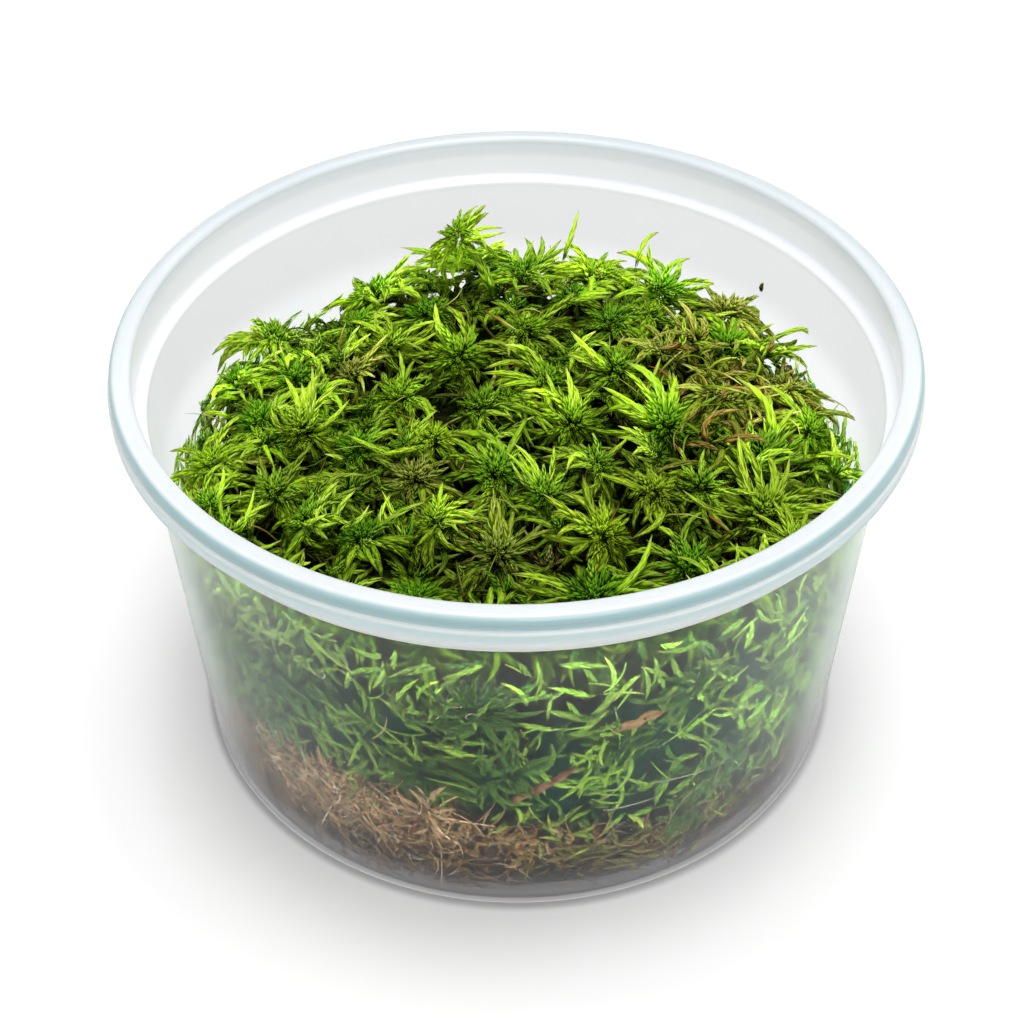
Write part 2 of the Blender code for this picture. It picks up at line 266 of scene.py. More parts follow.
# %% Lights
PANELS = (("panel_above", (0.08, 0.05, 1.5), 0.6, 22.0),
          ("panel_front", (0.3, -1.2, 1.0), 0.7, 5.0))
LIT_PLACE = Vector((0.0, 0.0, 0.04))
for name, place, size, power in PANELS:
    data = bpy.data.lights.new(name, "AREA")
    data.size = size
    data.energy = power
    panel = bpy.data.objects.new(name, data)
    panel.location = place
    panel.rotation_mode = "QUATERNION"
    panel.rotation_quaternion = (LIT_PLACE - Vector(place)).to_track_quat("-Z", "Y")
    bpy.context.scene.collection.objects.link(panel)
room = bpy.data.worlds.new("white_room")
room.use_nodes = True
room.node_tree.nodes["Background"].inputs["Color"].default_value = (1.0, 1.0, 1.0, 1.0)
room.node_tree.nodes["Background"].inputs["Strength"].default_value = 0.32
bpy.context.scene.world = room
bpy.context.scene.view_settings.view_transform = "Standard"
print("light:", len(PANELS), "panels and a white room")

# %% [markdown]
# ## The tub
#
# A tub like this is injection moulded from milky plastic. Its section is one
# thin line: a foot ring, a tapered wall, a ledge where a second tub would
# nest, a collar, and a rolled lip with a skirt that the lid snaps over. A
# lathe shape can be spun or screwed from its section. Here it is pulled up by
# hand instead: a circle at the foot, then extruded and scaled from one radius
# and height to the next, so that each step can be read off the list. Two
# mounds further on are pulled up in the same way, so the steps are helpers.

# %% Helpers that pull a shape up from a circle
def start_circle(name, sides, radius, height, fill):
    """A circle in edit mode, at a radius and height in millimetres."""
    bpy.ops.object.select_all(action="DESELECT")
    bpy.ops.mesh.primitive_circle_add(vertices=sides, radius=radius * MM,
                                      location=(0.0, 0.0, height * MM), fill_type=fill)
    thing = bpy.context.object
    thing.name = name
    bpy.ops.object.transform_apply(location=True, rotation=True, scale=True)
    bpy.ops.object.mode_set(mode="EDIT")
    return thing


def select_open_edges(thing):
    """Select the edges that have a face on one side alone."""
    bpy.ops.mesh.select_all(action="DESELECT")
    work = bmesh.from_edit_mesh(thing.data)
    for edge in work.edges:
        edge.select = edge.is_boundary
    bmesh.update_edit_mesh(thing.data)


def pull_up(section):
    """Extrude the selected ring through a list of radii and heights."""
    for (radius, height), (next_radius, next_height) in zip(section, section[1:]):
        bpy.ops.mesh.extrude_edges_move(
            TRANSFORM_OT_translate={"value": (0.0, 0.0, (next_height - height) * MM)})
        bpy.ops.transform.resize(value=(next_radius / radius, next_radius / radius, 1.0),
                                 center_override=(0.0, 0.0, next_height * MM))


def close_floor(inset):
    """Fill the selected ring with a face, inset it and split its middle."""
    bpy.ops.mesh.edge_face_add()
    bpy.ops.mesh.inset(thickness=inset * MM)
    bpy.ops.mesh.poke()


def face_outwards(cuts=0):
    """Turn every face outwards, cut the faces up and leave edit mode."""
    bpy.ops.mesh.select_all(action="SELECT")
    bpy.ops.mesh.normals_make_consistent(inside=False)
    if cuts:
        bpy.ops.mesh.subdivide(number_cuts=cuts)
    bpy.ops.object.mode_set(mode="OBJECT")


print("helpers: start a circle, pull it up, close it, face it outwards")

# %% The section of the tub, from the foot up the outside and down the inside
TUB_SIDES = 240
tub_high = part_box("tub")[1]
RIM = tub_high.x / MM
HEIGHT = tub_high.z / MM
WALL = 0.7
SKIRT = 4.5
LEDGE_HEIGHT = 59.2
LEDGE_RADIUS = 53.6
COLLAR = LEDGE_RADIUS + 2.0
FLOOR_RADIUS = 49.7
FLOOR_TOP = 1.8
skirt_low = HEIGHT - SKIRT
FOOT = ((45.4, 1.0), (46.1, 0.4), (46.5, 0.05), (46.9, 0.0), (49.3, 0.0), (49.8, 0.12),
        (50.2, 0.45), (50.4, 1.0))
OUTER_LEDGE = (
    (LEDGE_RADIUS + WALL - 0.05, LEDGE_HEIGHT - 1.2), (LEDGE_RADIUS + WALL + 0.1, LEDGE_HEIGHT - 0.8),
    (COLLAR + WALL - 0.3, LEDGE_HEIGHT - 0.5), (COLLAR + WALL, LEDGE_HEIGHT - 0.1),
    (COLLAR + WALL, HEIGHT - 1.4), (COLLAR + WALL + 0.3, HEIGHT - 1.1))
LIP = (
    (RIM - 1.0, HEIGHT - 1.2), (RIM - 0.8, HEIGHT - 1.6),
    (RIM - 0.8, skirt_low + 0.1), (RIM - 0.6, skirt_low), (RIM - 0.15, skirt_low),
    (RIM, skirt_low + 0.2), (RIM, skirt_low + 1.8), (RIM - 0.05, skirt_low + 2.0),
    (RIM - 0.3, skirt_low + 2.2), (RIM - 0.3, HEIGHT - 1.2), (RIM - 0.4, HEIGHT - 0.75),
    (RIM - 0.7, HEIGHT - 0.3), (RIM - 1.1, HEIGHT - 0.05), (RIM - 1.5, HEIGHT),
    (55.9, HEIGHT), (55.5, HEIGHT - 0.08), (55.15, HEIGHT - 0.35), (55.0, HEIGHT - 0.8))
INNER_LEDGE = (
    (COLLAR, LEDGE_HEIGHT + 0.7), (COLLAR - 0.1, LEDGE_HEIGHT + 0.4), (COLLAR - 0.4, LEDGE_HEIGHT + 0.2),
    (LEDGE_RADIUS + 0.4, LEDGE_HEIGHT), (LEDGE_RADIUS + 0.1, LEDGE_HEIGHT - 0.15),
    (LEDGE_RADIUS - 0.03, LEDGE_HEIGHT - 0.5))
INSIDE_FLOOR = ((FLOOR_RADIUS + 0.05, FLOOR_TOP + 0.9), (FLOOR_RADIUS - 0.2, FLOOR_TOP + 0.3),
                (FLOOR_RADIUS - 0.8, FLOOR_TOP))
TUB_SECTION = FOOT + OUTER_LEDGE + LIP + INNER_LEDGE + INSIDE_FLOOR
print("tub section:", len(TUB_SECTION), "points")

# %% Pull the tub up and close its floor, inside and underneath
INSET = 20.0
tub = start_circle("tub_shell", TUB_SIDES, *TUB_SECTION[0], "NOTHING")
bpy.ops.mesh.select_all(action="SELECT")
pull_up(TUB_SECTION)
close_floor(INSET)
select_open_edges(tub)
close_floor(INSET)
face_outwards()
bpy.ops.object.shade_smooth_by_angle(angle=math.radians(50))
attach(tub, "root")
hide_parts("tub")
print("tub:", len(tub.data.polygons), "faces,", round(2 * RIM), "mm across the rim")

# %% [markdown]
# ## Milky plastic
#
# The plastic lets most light through but blurs it, so leaves that touch the
# wall are crisp and deeper ones fade into haze. A glass shader with the
# refraction of real plastic would be the plain choice, but it turns the inside
# of the wall into a mirror, as the side of a fish tank does. So the
# see-through part hardly bends the light, and a second, whiter shader is mixed
# in wherever the eye meets more plastic: in the ledge, the collar and the
# lip, along the foot, low on the wall, and where the wall is seen edge on.
# Along the foot the whiter shader makes a painted highlight line. It also
# carries painted light elsewhere: white highlight lines and a shaded groove on
# the skirt, a faint painted glow, a painted shade low on the wall and a painted
# green light from the moss higher up. The see-through part is tinted darker at
# the foot, a painted shade. Long faint streaks up the wall are flow marks of
# the moulding.

# %% See-through plastic
FOOT_SHADE = (0.40, 0.37, 0.38)
MISTED = (0.62, 0.63, 0.64)
plastic = Shade("milky_plastic", ior=1.015, transmission_weight=0.98, alpha=0.6,
                coat_weight=0.2, coat_roughness=0.12)
spot = plastic.place()
streaks = plastic.noise(plastic.stretch(spot, (120.0, 120.0, 9.0)), 4.0, 4.0, 0.6)
cloud = plastic.noise(spot, 60.0, 3.0, 0.5)
height = plastic.axis(spot, 2)
far_side = plastic.axis(spot, 1).over(-15.0 * MM, 15.0 * MM)
clear = plastic.mix(streaks.over(0.35, 0.7), (0.82, 0.85, 0.85), (0.77, 0.81, 0.81))
clear = plastic.mix(height.over(44.0 * MM, 50.0 * MM) * far_side, clear, MISTED)
# The wall's foot and the tub's floor are tinted darker, a painted shade for the dark under the tub.
clear = plastic.mix(height.over(1.9 * MM, 3.0 * MM), FOOT_SHADE, clear)
plastic.paint(base_color=clear, roughness=0.55 + 0.15 * cloud)
print("see-through plastic: streaked, misted high on the far wall, stained at the foot")

# %% The skirt's painted highlights and shade, and a painted glow
SKIRT_HIGHLIGHT = (0.97, 1.0, 1.0)
BAND = (0.76, 0.90, 0.91)
GROOVE_SHADE = (0.46, 0.66, 0.68)
away = plastic.length(plastic.node("ShaderNodeVectorMath", {"operation": "MULTIPLY"}, spot,
                                   (1.0, 1.0, 0.0)))
outside = away.over(57.0 * MM, 57.5 * MM)
# Bands up the skirt: the white lines are painted highlights and the darker teal in the groove is a
# painted shade, with pale teal bands between them.
bands = plastic.ramp((height - skirt_low * MM) * (1 / (SKIRT * MM)),
                     (0.0, SKIRT_HIGHLIGHT), (0.07, SKIRT_HIGHLIGHT), (0.12, BAND), (0.40, BAND), (0.45, SKIRT_HIGHLIGHT),
                     (0.52, SKIRT_HIGHLIGHT), (0.57, GROOVE_SHADE), (0.92, GROOVE_SHADE), (0.99, SKIRT_HIGHLIGHT))
# The thick plastic is painted darker and lilac grey low on the wall, a painted shade, and pale green
# higher up, a painted green light from the moss behind it.
body = plastic.mix(height.over(4.0 * MM, 30.0 * MM), (0.66, 0.62, 0.65), (0.80, 0.98, 0.88))
# At the very foot the thick plastic is painted white, a painted highlight line.
body = plastic.mix(height.over(0.7 * MM, 1.0 * MM), (1.0, 1.0, 1.0), body)
upper = plastic.mix(cloud, (0.73, 0.76, 0.78), (0.70, 0.74, 0.77))
inside = plastic.mix(height.over(56.0 * MM, 58.5 * MM), body, upper)
# Emission inside the skirt is a painted glow that lifts the shade in the thick plastic: faint in the
# wall, stronger in the ledge and collar, a little less in the lip.
glow = plastic.mix(height.over(65.0 * MM, 66.0 * MM), (0.56, 0.53, 0.55), (0.38, 0.40, 0.43))
glow = plastic.mix(height.over(58.0 * MM, 59.0 * MM), (0.12, 0.13, 0.13), glow)
# Along the very foot the glow is white, a painted highlight line.
glow = plastic.mix(height.over(1.0 * MM, 2.0 * MM), (1.0, 1.0, 1.0), glow)
print("thick plastic: bands on the skirt, a faint glow inside it")

# %% Thick milky plastic, and where it shows
thick = plastic.node("ShaderNodeBsdfPrincipled", {}, **{
    "Base Color": plastic.mix(outside, inside, bands), "Roughness": 0.2,
    "Emission Color": plastic.mix(outside, glow, (0.0, 0.0, 0.0)), "Emission Strength": 0.35,
    "IOR": 1.4, "Transmission Weight": 0.46, "Alpha": 0.88})
edge_on = plastic.node("ShaderNodeLayerWeight", {}, 0.5, out=1)
# Along the foot the whiter shader is mixed in fully, a painted highlight line.
foot_highlight_mask = (1 - height.over(0.4 * MM, 0.65 * MM)) * away.over(48.8 * MM, 49.3 * MM)
low_mist = 0.15 * (1 - height.over(2.0 * MM, 9.0 * MM))
side_mist = 0.14 * edge_on.over(0.5, 0.85) + 0.7 * edge_on.over(0.76, 1.0) ** 2
milk = (height.over(58.0 * MM, 59.0 * MM) + foot_highlight_mask + low_mist + side_mist).clamp()
blend = plastic.node("ShaderNodeMixShader", {}, milk,
                     Wire(plastic, plastic.shader.outputs[0]), thick)
plastic.feed(plastic.tree.nodes["Material Output"].inputs[0], blend)
tub.data.materials.append(plastic.material)
print("tub finish: milky plastic")

# %% [markdown]
# ## How a moss branch is grown
#
# A branch is a thin axis wrapped in small boat-shaped leaves. Each leaf
# starts near the axis, widens to two edges, and ends in a point that stands
# out a little, which gives the branch its toothed outline. A particle system
# could scatter copies of one modelled branch, but each here has its own bend.
# So one branch is described once, in its own terms: how far along the axis,
# how far out from it, and at what angle round it. Growing it is then a sum
# that numpy does for all branches at once: bend the axis, swell and taper the
# width, and wrap the leaves round it.

# %% One branch, in its own terms
def leafy_branch(rows, leaves, length, flare):
    """A branch as leaf points (along, out, round), faces and leaf growth.

    rows is how many rows of leaves follow each other, leaves how many stand
    round the axis in each, length how much of the branch a leaf covers and
    flare how far its tip stands out.
    """
    points = []
    faces = []
    growth = []
    for row in range(rows):
        start = row / rows * (1.0 - 0.75 * length)
        for leaf in range(leaves):
            turn = 2 * math.pi * (leaf + 0.5 * (row % 2) + 0.13 * row) / leaves
            wide = 2.6 / leaves
            first = len(points)
            points += [
                (start, 0.55, turn),
                (start + 0.45 * length, 0.85, turn - wide),
                (start + 0.45 * length, 0.85, turn + wide),
                (min(start + length, 1.0), 1.0 + flare, turn)]
            growth += [0.0, 0.4, 0.4, 1.0]
            base, right, left, tip = range(first, first + 4)
            faces += [(base, right, tip), (base, tip, left), (base, left, right),
                      (right, left, tip)]
    return np.array(points), np.array(faces), np.array(growth)


def bare_branch(sides, steps):
    """A bare tapered thread, closed at both ends, in the same terms."""
    points = [(0.0, 0.0, 0.0)]
    faces = []
    for step in range(steps + 1):
        along = 0.02 + 0.96 * step / steps
        points += [(along, 1.0, 2 * math.pi * side / sides) for side in range(sides)]
    points.append((1.0, 0.0, 0.0))
    last = len(points) - 1
    for side in range(sides):
        other = (side + 1) % sides
        faces.append((0, 1 + other, 1 + side))
        faces.append((last, last - sides + side, last - sides + other))
        for step in range(steps):
            low = 1 + step * sides
            high = low + sides
            faces.append((low + side, low + other, high + other))
            faces.append((low + side, high + other, high + side))
    return np.array(points), np.array(faces), np.array([point[0] for point in points])


# Leaves that hug the branch, leaves that stand out, and a feathery spray.
LANCE = leafy_branch(7, 3, 0.42, 0.05)
TOOTHED = leafy_branch(7, 3, 0.3, 0.35)
SPRAY = leafy_branch(6, 3, 0.34, 0.9)
BUD = leafy_branch(3, 3, 0.6, 0.3)
THREAD = bare_branch(3, 5)
print("branch faces:", len(LANCE[1]), "long,", len(BUD[1]), "bud,", len(THREAD[1]), "thread")

# %% Grow many branches at once
def grow(pattern, root, heading, lift, droop, swing, length, width):
    """Every branch of a pattern as one array of points.

    All the rest are one value for each branch: where it starts, which way it
    points, how steeply it rises, how far it bends down and sideways, and its
    length and width.
    """
    along, out, turn = (pattern[0][:, axis][None, :] for axis in range(3))
    heading, lift, droop, swing, length, width = (
        np.asarray(value, float).reshape(-1, 1)
        for value in (heading, lift, droop, swing, length, width))
    droop = np.where(np.abs(droop) < 0.02, 0.02, droop)
    rise = lift - droop * along
    forward = (np.sin(lift) - np.sin(rise)) / droop * length
    upward = (np.cos(rise) - np.cos(lift)) / droop * length
    way = heading + swing * along
    swell = width * np.sin(np.pi * (0.2 + 0.78 * along)) ** 0.8
    across = -swell * out * np.cos(turn)
    above = swell * out * np.sin(turn)
    flat = forward - above * np.sin(rise)
    x = flat * np.cos(way) - across * np.sin(way)
    y = flat * np.sin(way) + across * np.cos(way)
    z = upward + above * np.cos(rise)
    return np.stack([x, y, z], -1) + np.asarray(root, float).reshape(-1, 1, 3)


print("helper: grow every branch of a pattern at once")

# %% [markdown]
# ## From branches to heads
#
# A head has three kinds of branch, all crowded on the top of one stem. The
# youngest stand almost upright in the middle and make the dark tuft. Round
# them is a ring of half-grown ones, and outside that the long branches, which
# leave the stem in bundles of three, arch out and droop, and give the star
# its points. Each vertex also carries four numbers for the painter: how far
# along its branch it is, how far along its leaf, a number drawn for the
# branch, and the branch's age. A second set of four, its tone, says how
# yellow, how olive, how light and how red the branch is. How light it is
# holds the branch's own tone, and also painted shade and painted light.

# %% The room inside the tub
WALL_GAP = 0.15


def inner_wall(z):
    """The radius of the tub's inner face at a height, in millimetres."""
    return FLOOR_RADIUS + (LEDGE_RADIUS - FLOOR_RADIUS) * (z - FLOOR_TOP) / (LEDGE_HEIGHT - FLOOR_TOP)


def keep_inside(points):
    """What would grow through the wall is pressed flat against it."""
    away = np.maximum(np.hypot(points[..., 0], points[..., 1]), 1e-6)
    room = (inner_wall(points[..., 2] / MM) - WALL_GAP) * MM
    squeeze = np.minimum(room / away, 1.0)
    low = (FLOOR_TOP + WALL_GAP) * MM
    return np.stack([points[..., 0] * squeeze, points[..., 1] * squeeze,
                     np.maximum(points[..., 2], low)], -1)


print("room:", round(inner_wall(LEDGE_HEIGHT), 1), "mm from the middle to the wall at the ledge")

# %% The height of the carpet
CROWN = 55.5
EDGE_DROP = 9.0
MOSS_RADIUS = 50.0


def tip_height(x, y):
    """How high the moss stands at a place, in millimetres."""
    return CROWN - EDGE_DROP * np.minimum(np.hypot(x, y) / MOSS_RADIUS, 1.0) ** 4


print("carpet:", CROWN, "mm high in the middle")

# %% Collect branches into a mesh
rng = np.random.default_rng(7)


class Patch:
    """Points, faces and painter's numbers of many branches, for one mesh."""

    total = 0

    def __init__(self):
        self.points = []
        self.faces = []
        self.growth = []
        self.tone = []
        self.count = 0

    def add(self, pattern, points, age, tone, luck=None, sunk=False):
        """Branches as an array of (branch, point, axis), in metres.

        luck is a number from 0 to 1 for each branch, drawn here if it isn't
        given. Where the last flag is true, a painted shade darkens what lies
        below the carpet of heads, and the front too, which is turned away
        from the light.
        """
        branches, corners = points.shape[:2]
        if luck is None:
            luck = rng.uniform(0, 1, branches)
        points = keep_inside(points)
        starts = self.count + corners * np.arange(branches)
        self.faces.append((pattern[1][None] + starts[:, None, None]).reshape(-1, 3))
        self.points.append(points.reshape(-1, 3))
        shape = (branches, corners)
        rows = [pattern[0][:, 0][None], pattern[2][None],
                np.reshape(luck, (-1, 1)), np.reshape(age, (-1, 1))]
        self.growth.append(
            np.stack([np.broadcast_to(row, shape) for row in rows], -1).reshape(-1, 4))
        tone = np.reshape(np.asarray(tone, float), (-1, 1, 4))
        tone = np.broadcast_to(tone, (branches, corners, 4)).copy()
        # Painted shade: the deeper below the tips, the darker, and the front darker too.
        if sunk:
            x, y, z = (points[..., axis] / MM for axis in range(3))
            buried = tip_height(x, y) - z
            forward = np.clip((-y - 8.0) / 30.0, 0.0, 1.0)
            tone[..., 2] *= np.clip(1.16 - 0.15 * buried, 0.08, 1.25)
            tone[..., 2] *= 1.0 - 0.3 * forward
        self.tone.append(tone.reshape(-1, 4))
        self.count += branches * corners

    def finish(self, name, material, slot, *nodes):
        """The mesh object, riding on the body and standing for CAD nodes."""
        mesh = bpy.data.meshes.new(name)
        points = np.concatenate(self.points)
        faces = np.concatenate(self.faces)
        mesh.vertices.add(len(points))
        mesh.vertices.foreach_set("co", points.astype(np.float32).ravel())
        mesh.loops.add(faces.size)
        mesh.loops.foreach_set("vertex_index", faces.astype(np.int32).ravel())
        mesh.polygons.add(len(faces))
        mesh.polygons.foreach_set("loop_start", np.arange(0, faces.size, 3, dtype=np.int32))
        mesh.update(calc_edges=True)
        for key, rows in (("growth", self.growth), ("tone", self.tone)):
            layer = mesh.attributes.new(key, "FLOAT_COLOR", "POINT")
            layer.data.foreach_set("color", np.concatenate(rows).astype(np.float32).ravel())
        mesh.shade_smooth()
        mesh.materials.append(material)
        thing = bpy.data.objects.new(name, mesh)
        bpy.context.scene.collection.objects.link(thing)
        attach(thing, "root")
        if nodes:
            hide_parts(*nodes)
        Patch.total += len(faces)
        print(name + ":", len(faces), "triangles")


print("patches: many branches in one mesh")

# %% The branches of one head
BUDDING, HALF_GROWN, GROWN, HANGING_AGE = 0.0, 0.5, 1.0, 0.8
GOLDEN_ANGLE = 2.39996
FULL_TURN = 2 * math.pi


def ring_root(heading, radius, depth):
    """Points on a small ring round the top of a stem."""
    return np.stack([radius * np.cos(heading), radius * np.sin(heading),
                     np.broadcast_to(depth, heading.shape)], -1)


def young_tuft(reach, count):
    """Short buds in a golden spiral, upright in the middle."""
    order = np.arange(count)
    spread = np.sqrt((order + 0.5) / count)
    heading = order * GOLDEN_ANGLE + rng.normal(0, 0.15, count)
    return grow(BUD, ring_root(heading, spread * 0.2 * reach, -0.12 * reach * spread ** 2),
                heading, 1.45 - 0.95 * spread + rng.normal(0, 0.12, count),
                rng.uniform(-0.4, 0.5, count), rng.normal(0, 0.3, count),
                reach * (0.27 + 0.2 * spread) * rng.uniform(0.8, 1.2, count),
                reach * rng.uniform(0.05, 0.07, count))


def half_grown_ring(reach, count, turn, lift):
    """Toothed branches of middle length round the tuft."""
    heading = turn + FULL_TURN * (np.arange(count) + rng.uniform(-0.4, 0.4, count)) / count
    return grow(TOOTHED, ring_root(heading, 0.15 * reach, -0.15 * reach), heading,
                lift + rng.uniform(-0.05, 0.6, count), rng.uniform(0.2, 1.4, count),
                rng.normal(0, 0.3, count), reach * rng.uniform(0.55, 0.85, count),
                reach * rng.uniform(0.06, 0.085, count))


def head_branches(reach, bundles, half, buds, lift=0.35):
    """The branches of one head round the origin: (pattern, points, age, luck)."""
    points = young_tuft(reach, buds)
    sets = [(BUD, points, BUDDING, rng.uniform(0, 1, buds))]
    turn = rng.uniform(0, FULL_TURN)
    points = half_grown_ring(reach, half, turn, lift)
    sets.append((TOOTHED, points, HALF_GROWN, rng.uniform(0, 1, half)))
    bundle = np.repeat(np.arange(bundles), 3)
    count = len(bundle)
    slim = rng.uniform(0.8, 1.05)
    heading = turn + FULL_TURN * (bundle + rng.uniform(-0.25, 0.25, bundles)[bundle]) / bundles
    heading = heading + np.tile([-0.3, 0.0, 0.3], bundles) + rng.normal(0, 0.12, count)
    steep = lift + rng.uniform(-0.35, 0.2, bundles)[bundle] + rng.normal(0, 0.12, count)
    toothed = np.arange(count) % 3 == 2
    for pattern, chosen in ((LANCE, ~toothed), (TOOTHED, toothed)):
        size = int(chosen.sum())
        points = grow(pattern, ring_root(heading[chosen], 0.12 * reach, -0.25 * reach),
                      heading[chosen], steep[chosen] + 0.1, rng.uniform(0.5, 2.0, size),
                      rng.normal(0, 0.5, size), reach * rng.uniform(1.0, 1.6, size),
                      reach * slim * rng.uniform(0.075, 0.11, size))
        sets.append((pattern, points, GROWN, rng.uniform(0, 1, size)))
    return sets


print("heads: three ages of branch on each stem")

# %% Plant a head, with the branches that hang below it
HANGING = 6
SMALL_HEAD = {"bundles": 5, "half": 6, "buds": 12}


def plant_head(patch, place, reach, lean, tone, bundles=7, half=9, buds=36, lift=0.35):
    """Add one head to a patch, leaning by lean and centred on place."""
    turn = np.array(lean.to_matrix())
    for pattern, points, age, luck in head_branches(reach, bundles, half, buds, lift):
        patch.add(pattern, points @ turn.T + np.asarray(place), age, tone, luck, sunk=True)


def hang_branches(patch, place, reach, tone):
    """The branches that hang down along a stem, below its head."""
    order = np.arange(HANGING)
    root = np.asarray(place) - np.array([0.0, 0.0, 1.0]) * (0.5 + 0.12 * order[:, None]) * reach
    points = grow(LANCE, root, order * 2.4 + rng.uniform(0, FULL_TURN),
                  rng.uniform(-1.2, -0.6, HANGING), rng.uniform(-0.2, 0.6, HANGING),
                  rng.normal(0, 0.4, HANGING), reach * rng.uniform(1.1, 1.6, HANGING),
                  reach * rng.uniform(0.07, 0.09, HANGING))
    patch.add(LANCE, points, HANGING_AGE, tone, sunk=True)


def lean_out(x, y, most, jitter):
    """A head at the edge of the clump leans out, and every head leans a bit."""
    amount = most * math.hypot(x, y) / (MOSS_RADIUS * MM)
    way = math.atan2(y, x)
    return Euler((-amount * math.sin(way) + rng.normal(0, jitter),
                  amount * math.cos(way) + rng.normal(0, jitter), 0.0))


print("helpers: plant a head, hang", HANGING, "branches, lean outwards")

# %% [markdown]
# ## Colours that follow growth
#
# Live moss is dark in the young tuft and yellow-green further out, and each
# leaf ends in a pale point, which here also stands for the glints of light on
# the leaves, a painted highlight. The base of each leaf, where the one before
# overlaps it, is painted darker, a painted shade. A pattern that lies in space
# would cut across the leaves. So this finish reads the numbers that each vertex
# carries instead, and its colours turn where one leaf ends and the next begins.

# %% Living moss: colours by age and by place on the leaf
def moss_shade(name, share=0.0, cast=(0.0, 0.0, 0.0)):
    """Green moss: dark young tuft, yellow-green branches, pale leaf points.

    The pale points are partly a painted highlight, and the dark leaf bases
    are a painted shade. share is how far it all turns towards the colour
    cast, which paints light on one copy of the moss and shade on another.
    """
    shade = Shade(name, specular_ior_level=0.08)
    along, leaf, luck, age = shade.attribute("growth")
    yellow, olive, light, red = shade.attribute("tone")
    green = shade.ramp((age * 0.55 + along * 0.3 + luck * 0.15).clamp(),
                       (0.0, (0.062, 0.200, 0.0001)), (0.3, (0.115, 0.345, 0.0002)),
                       (0.65, (0.250, 0.590, 0.0005)), (1.0, (0.570, 0.900, 0.010)))
    green = shade.mix(yellow * 0.8, green, (0.60, 0.80, 0.02))
    brown = shade.ramp(along, (0.0, (0.09, 0.06, 0.010)), (0.5, (0.25, 0.19, 0.02)),
                       (1.0, (0.68, 0.56, 0.18)))
    colour = shade.mix(olive, green, brown)
    # Pale leaf points, partly a painted highlight.
    colour = shade.mix(leaf.over(0.5, 1.0) * (0.06 + 0.58 * age), colour, (1.0, 1.0, 0.30))
    # Dark leaf bases, a painted shade where the leaves overlap.
    colour = shade.mix((1 - leaf.over(0.0, 0.6)) * 0.42, colour, (0.004, 0.040, 0.0003))
    colour = shade.mix(red, colour, (0.40, 0.12, 0.06))
    colour = shade.mix(share, colour, cast)
    # The tone's lightness, with its painted shade and light, scales it all.
    dim = shade.node("ShaderNodeCombineColor", {}, *([light * (0.8 + 0.4 * luck)] * 3))
    shade.paint(base_color=shade.mix(1.0, colour, dim, "MULTIPLY"),
                roughness=0.65 - 0.25 * leaf)
    return shade.material


moss = moss_shade("living_moss")
print("moss finish: painted by growth")

# %% [markdown]
# ## The dark bed under the heads
#
# Between the heads one looks down into a tangle where hardly any light comes.
# A dark lumpy bed stands for it, a little inside the mat of the frame, so
# that the branches that are planted on it reach the mat's real outline. It
# starts as a filled circle, is pulled up and over like the tub was, and is
# then roughened with a cloud texture that a Displace modifier moves it by.
# Its top is painted nearly black, a painted shade for the unlit tangle, and
# its sides a deep teal green, the painted shade of moss seen through the wall.

# %% Pull up the bed
def lumpy_mound(name, section):
    """A closed mound pulled up from a filled circle."""
    mound = start_circle(name, 72, *section[0], "TRIFAN")
    select_open_edges(mound)
    pull_up(section)
    bpy.ops.mesh.edge_face_add()
    bpy.ops.mesh.poke()
    face_outwards(cuts=2)
    return mound


def push_lumps(thing, grain, strength, level):
    """Move a surface in and out by a cloud texture, in millimetres."""
    clouds = bpy.data.textures.new(thing.name + "_lumps", "CLOUDS")
    clouds.noise_scale = grain * MM
    clouds.noise_depth = 2
    lumps = thing.modifiers.new("lumps", "DISPLACE")
    lumps.texture = clouds
    lumps.strength = strength * MM
    lumps.mid_level = level
    bpy.ops.object.modifier_apply(modifier="lumps")
    bpy.ops.object.shade_smooth()


bed = lumpy_mound("moss_bed", (
    (43.0, 6.0), (46.0, 9.0), (47.0, 14.0), (47.8, 22.0), (48.3, 30.0), (48.3, 36.0), (47.0, 41.0),
    (43.0, 44.0), (36.0, 46.6), (27.0, 47.8), (18.0, 48.4), (9.0, 48.6)))
push_lumps(bed, 5.0, 5.0, 0.75)
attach(bed, "root")
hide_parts("moss_mat")
print("bed:", len(bed.data.polygons), "faces")

# %% The tangle, in painted shade
tangle = Shade("dark_tangle", roughness=0.9, specular_ior_level=0.02)
spot = tangle.place()
fine = tangle.noise(spot, 900.0, 4.0, 0.7)
patchy = tangle.noise(spot, 150.0, 2.0, 0.5)
height = tangle.axis(spot, 2)
# Nearly black between the heads and deep teal green at the sides: painted shade.
gap = tangle.mix(patchy.over(0.4, 0.65),
                 tangle.ramp(fine, (0.35, (0.003, 0.006, 0.001)), (0.7, (0.016, 0.030, 0.003))),
                 tangle.ramp(fine, (0.35, (0.003, 0.003, 0.001)), (0.7, (0.018, 0.014, 0.004))))
side = tangle.ramp(fine, (0.35, (0.006, 0.065, 0.045)), (0.7, (0.022, 0.165, 0.100)))
tangle.paint(base_color=tangle.mix(height.over(35.0 * MM, 39.0 * MM), side, gap))
tangle.bump(fine, 0.8, 0.0012)
bed.data.materials.append(tangle.material)
print("bed finish: nearly black between the heads, deep green at the sides")

# %% [markdown]
# ## The heads of the frame
#
# The frame has a plain solid star for each head that the photograph shows.
# A star of real branches is grown on the same spot and at the same size, and
# it stands for the plain one. The heads share three meshes, so that none of
# them gets too heavy. Those in the back row stand up, because they are seen
# from the side.

# %% Grow the heads of the frame
BACK_ROW = 32.0
STAR_SPREAD = 1.05
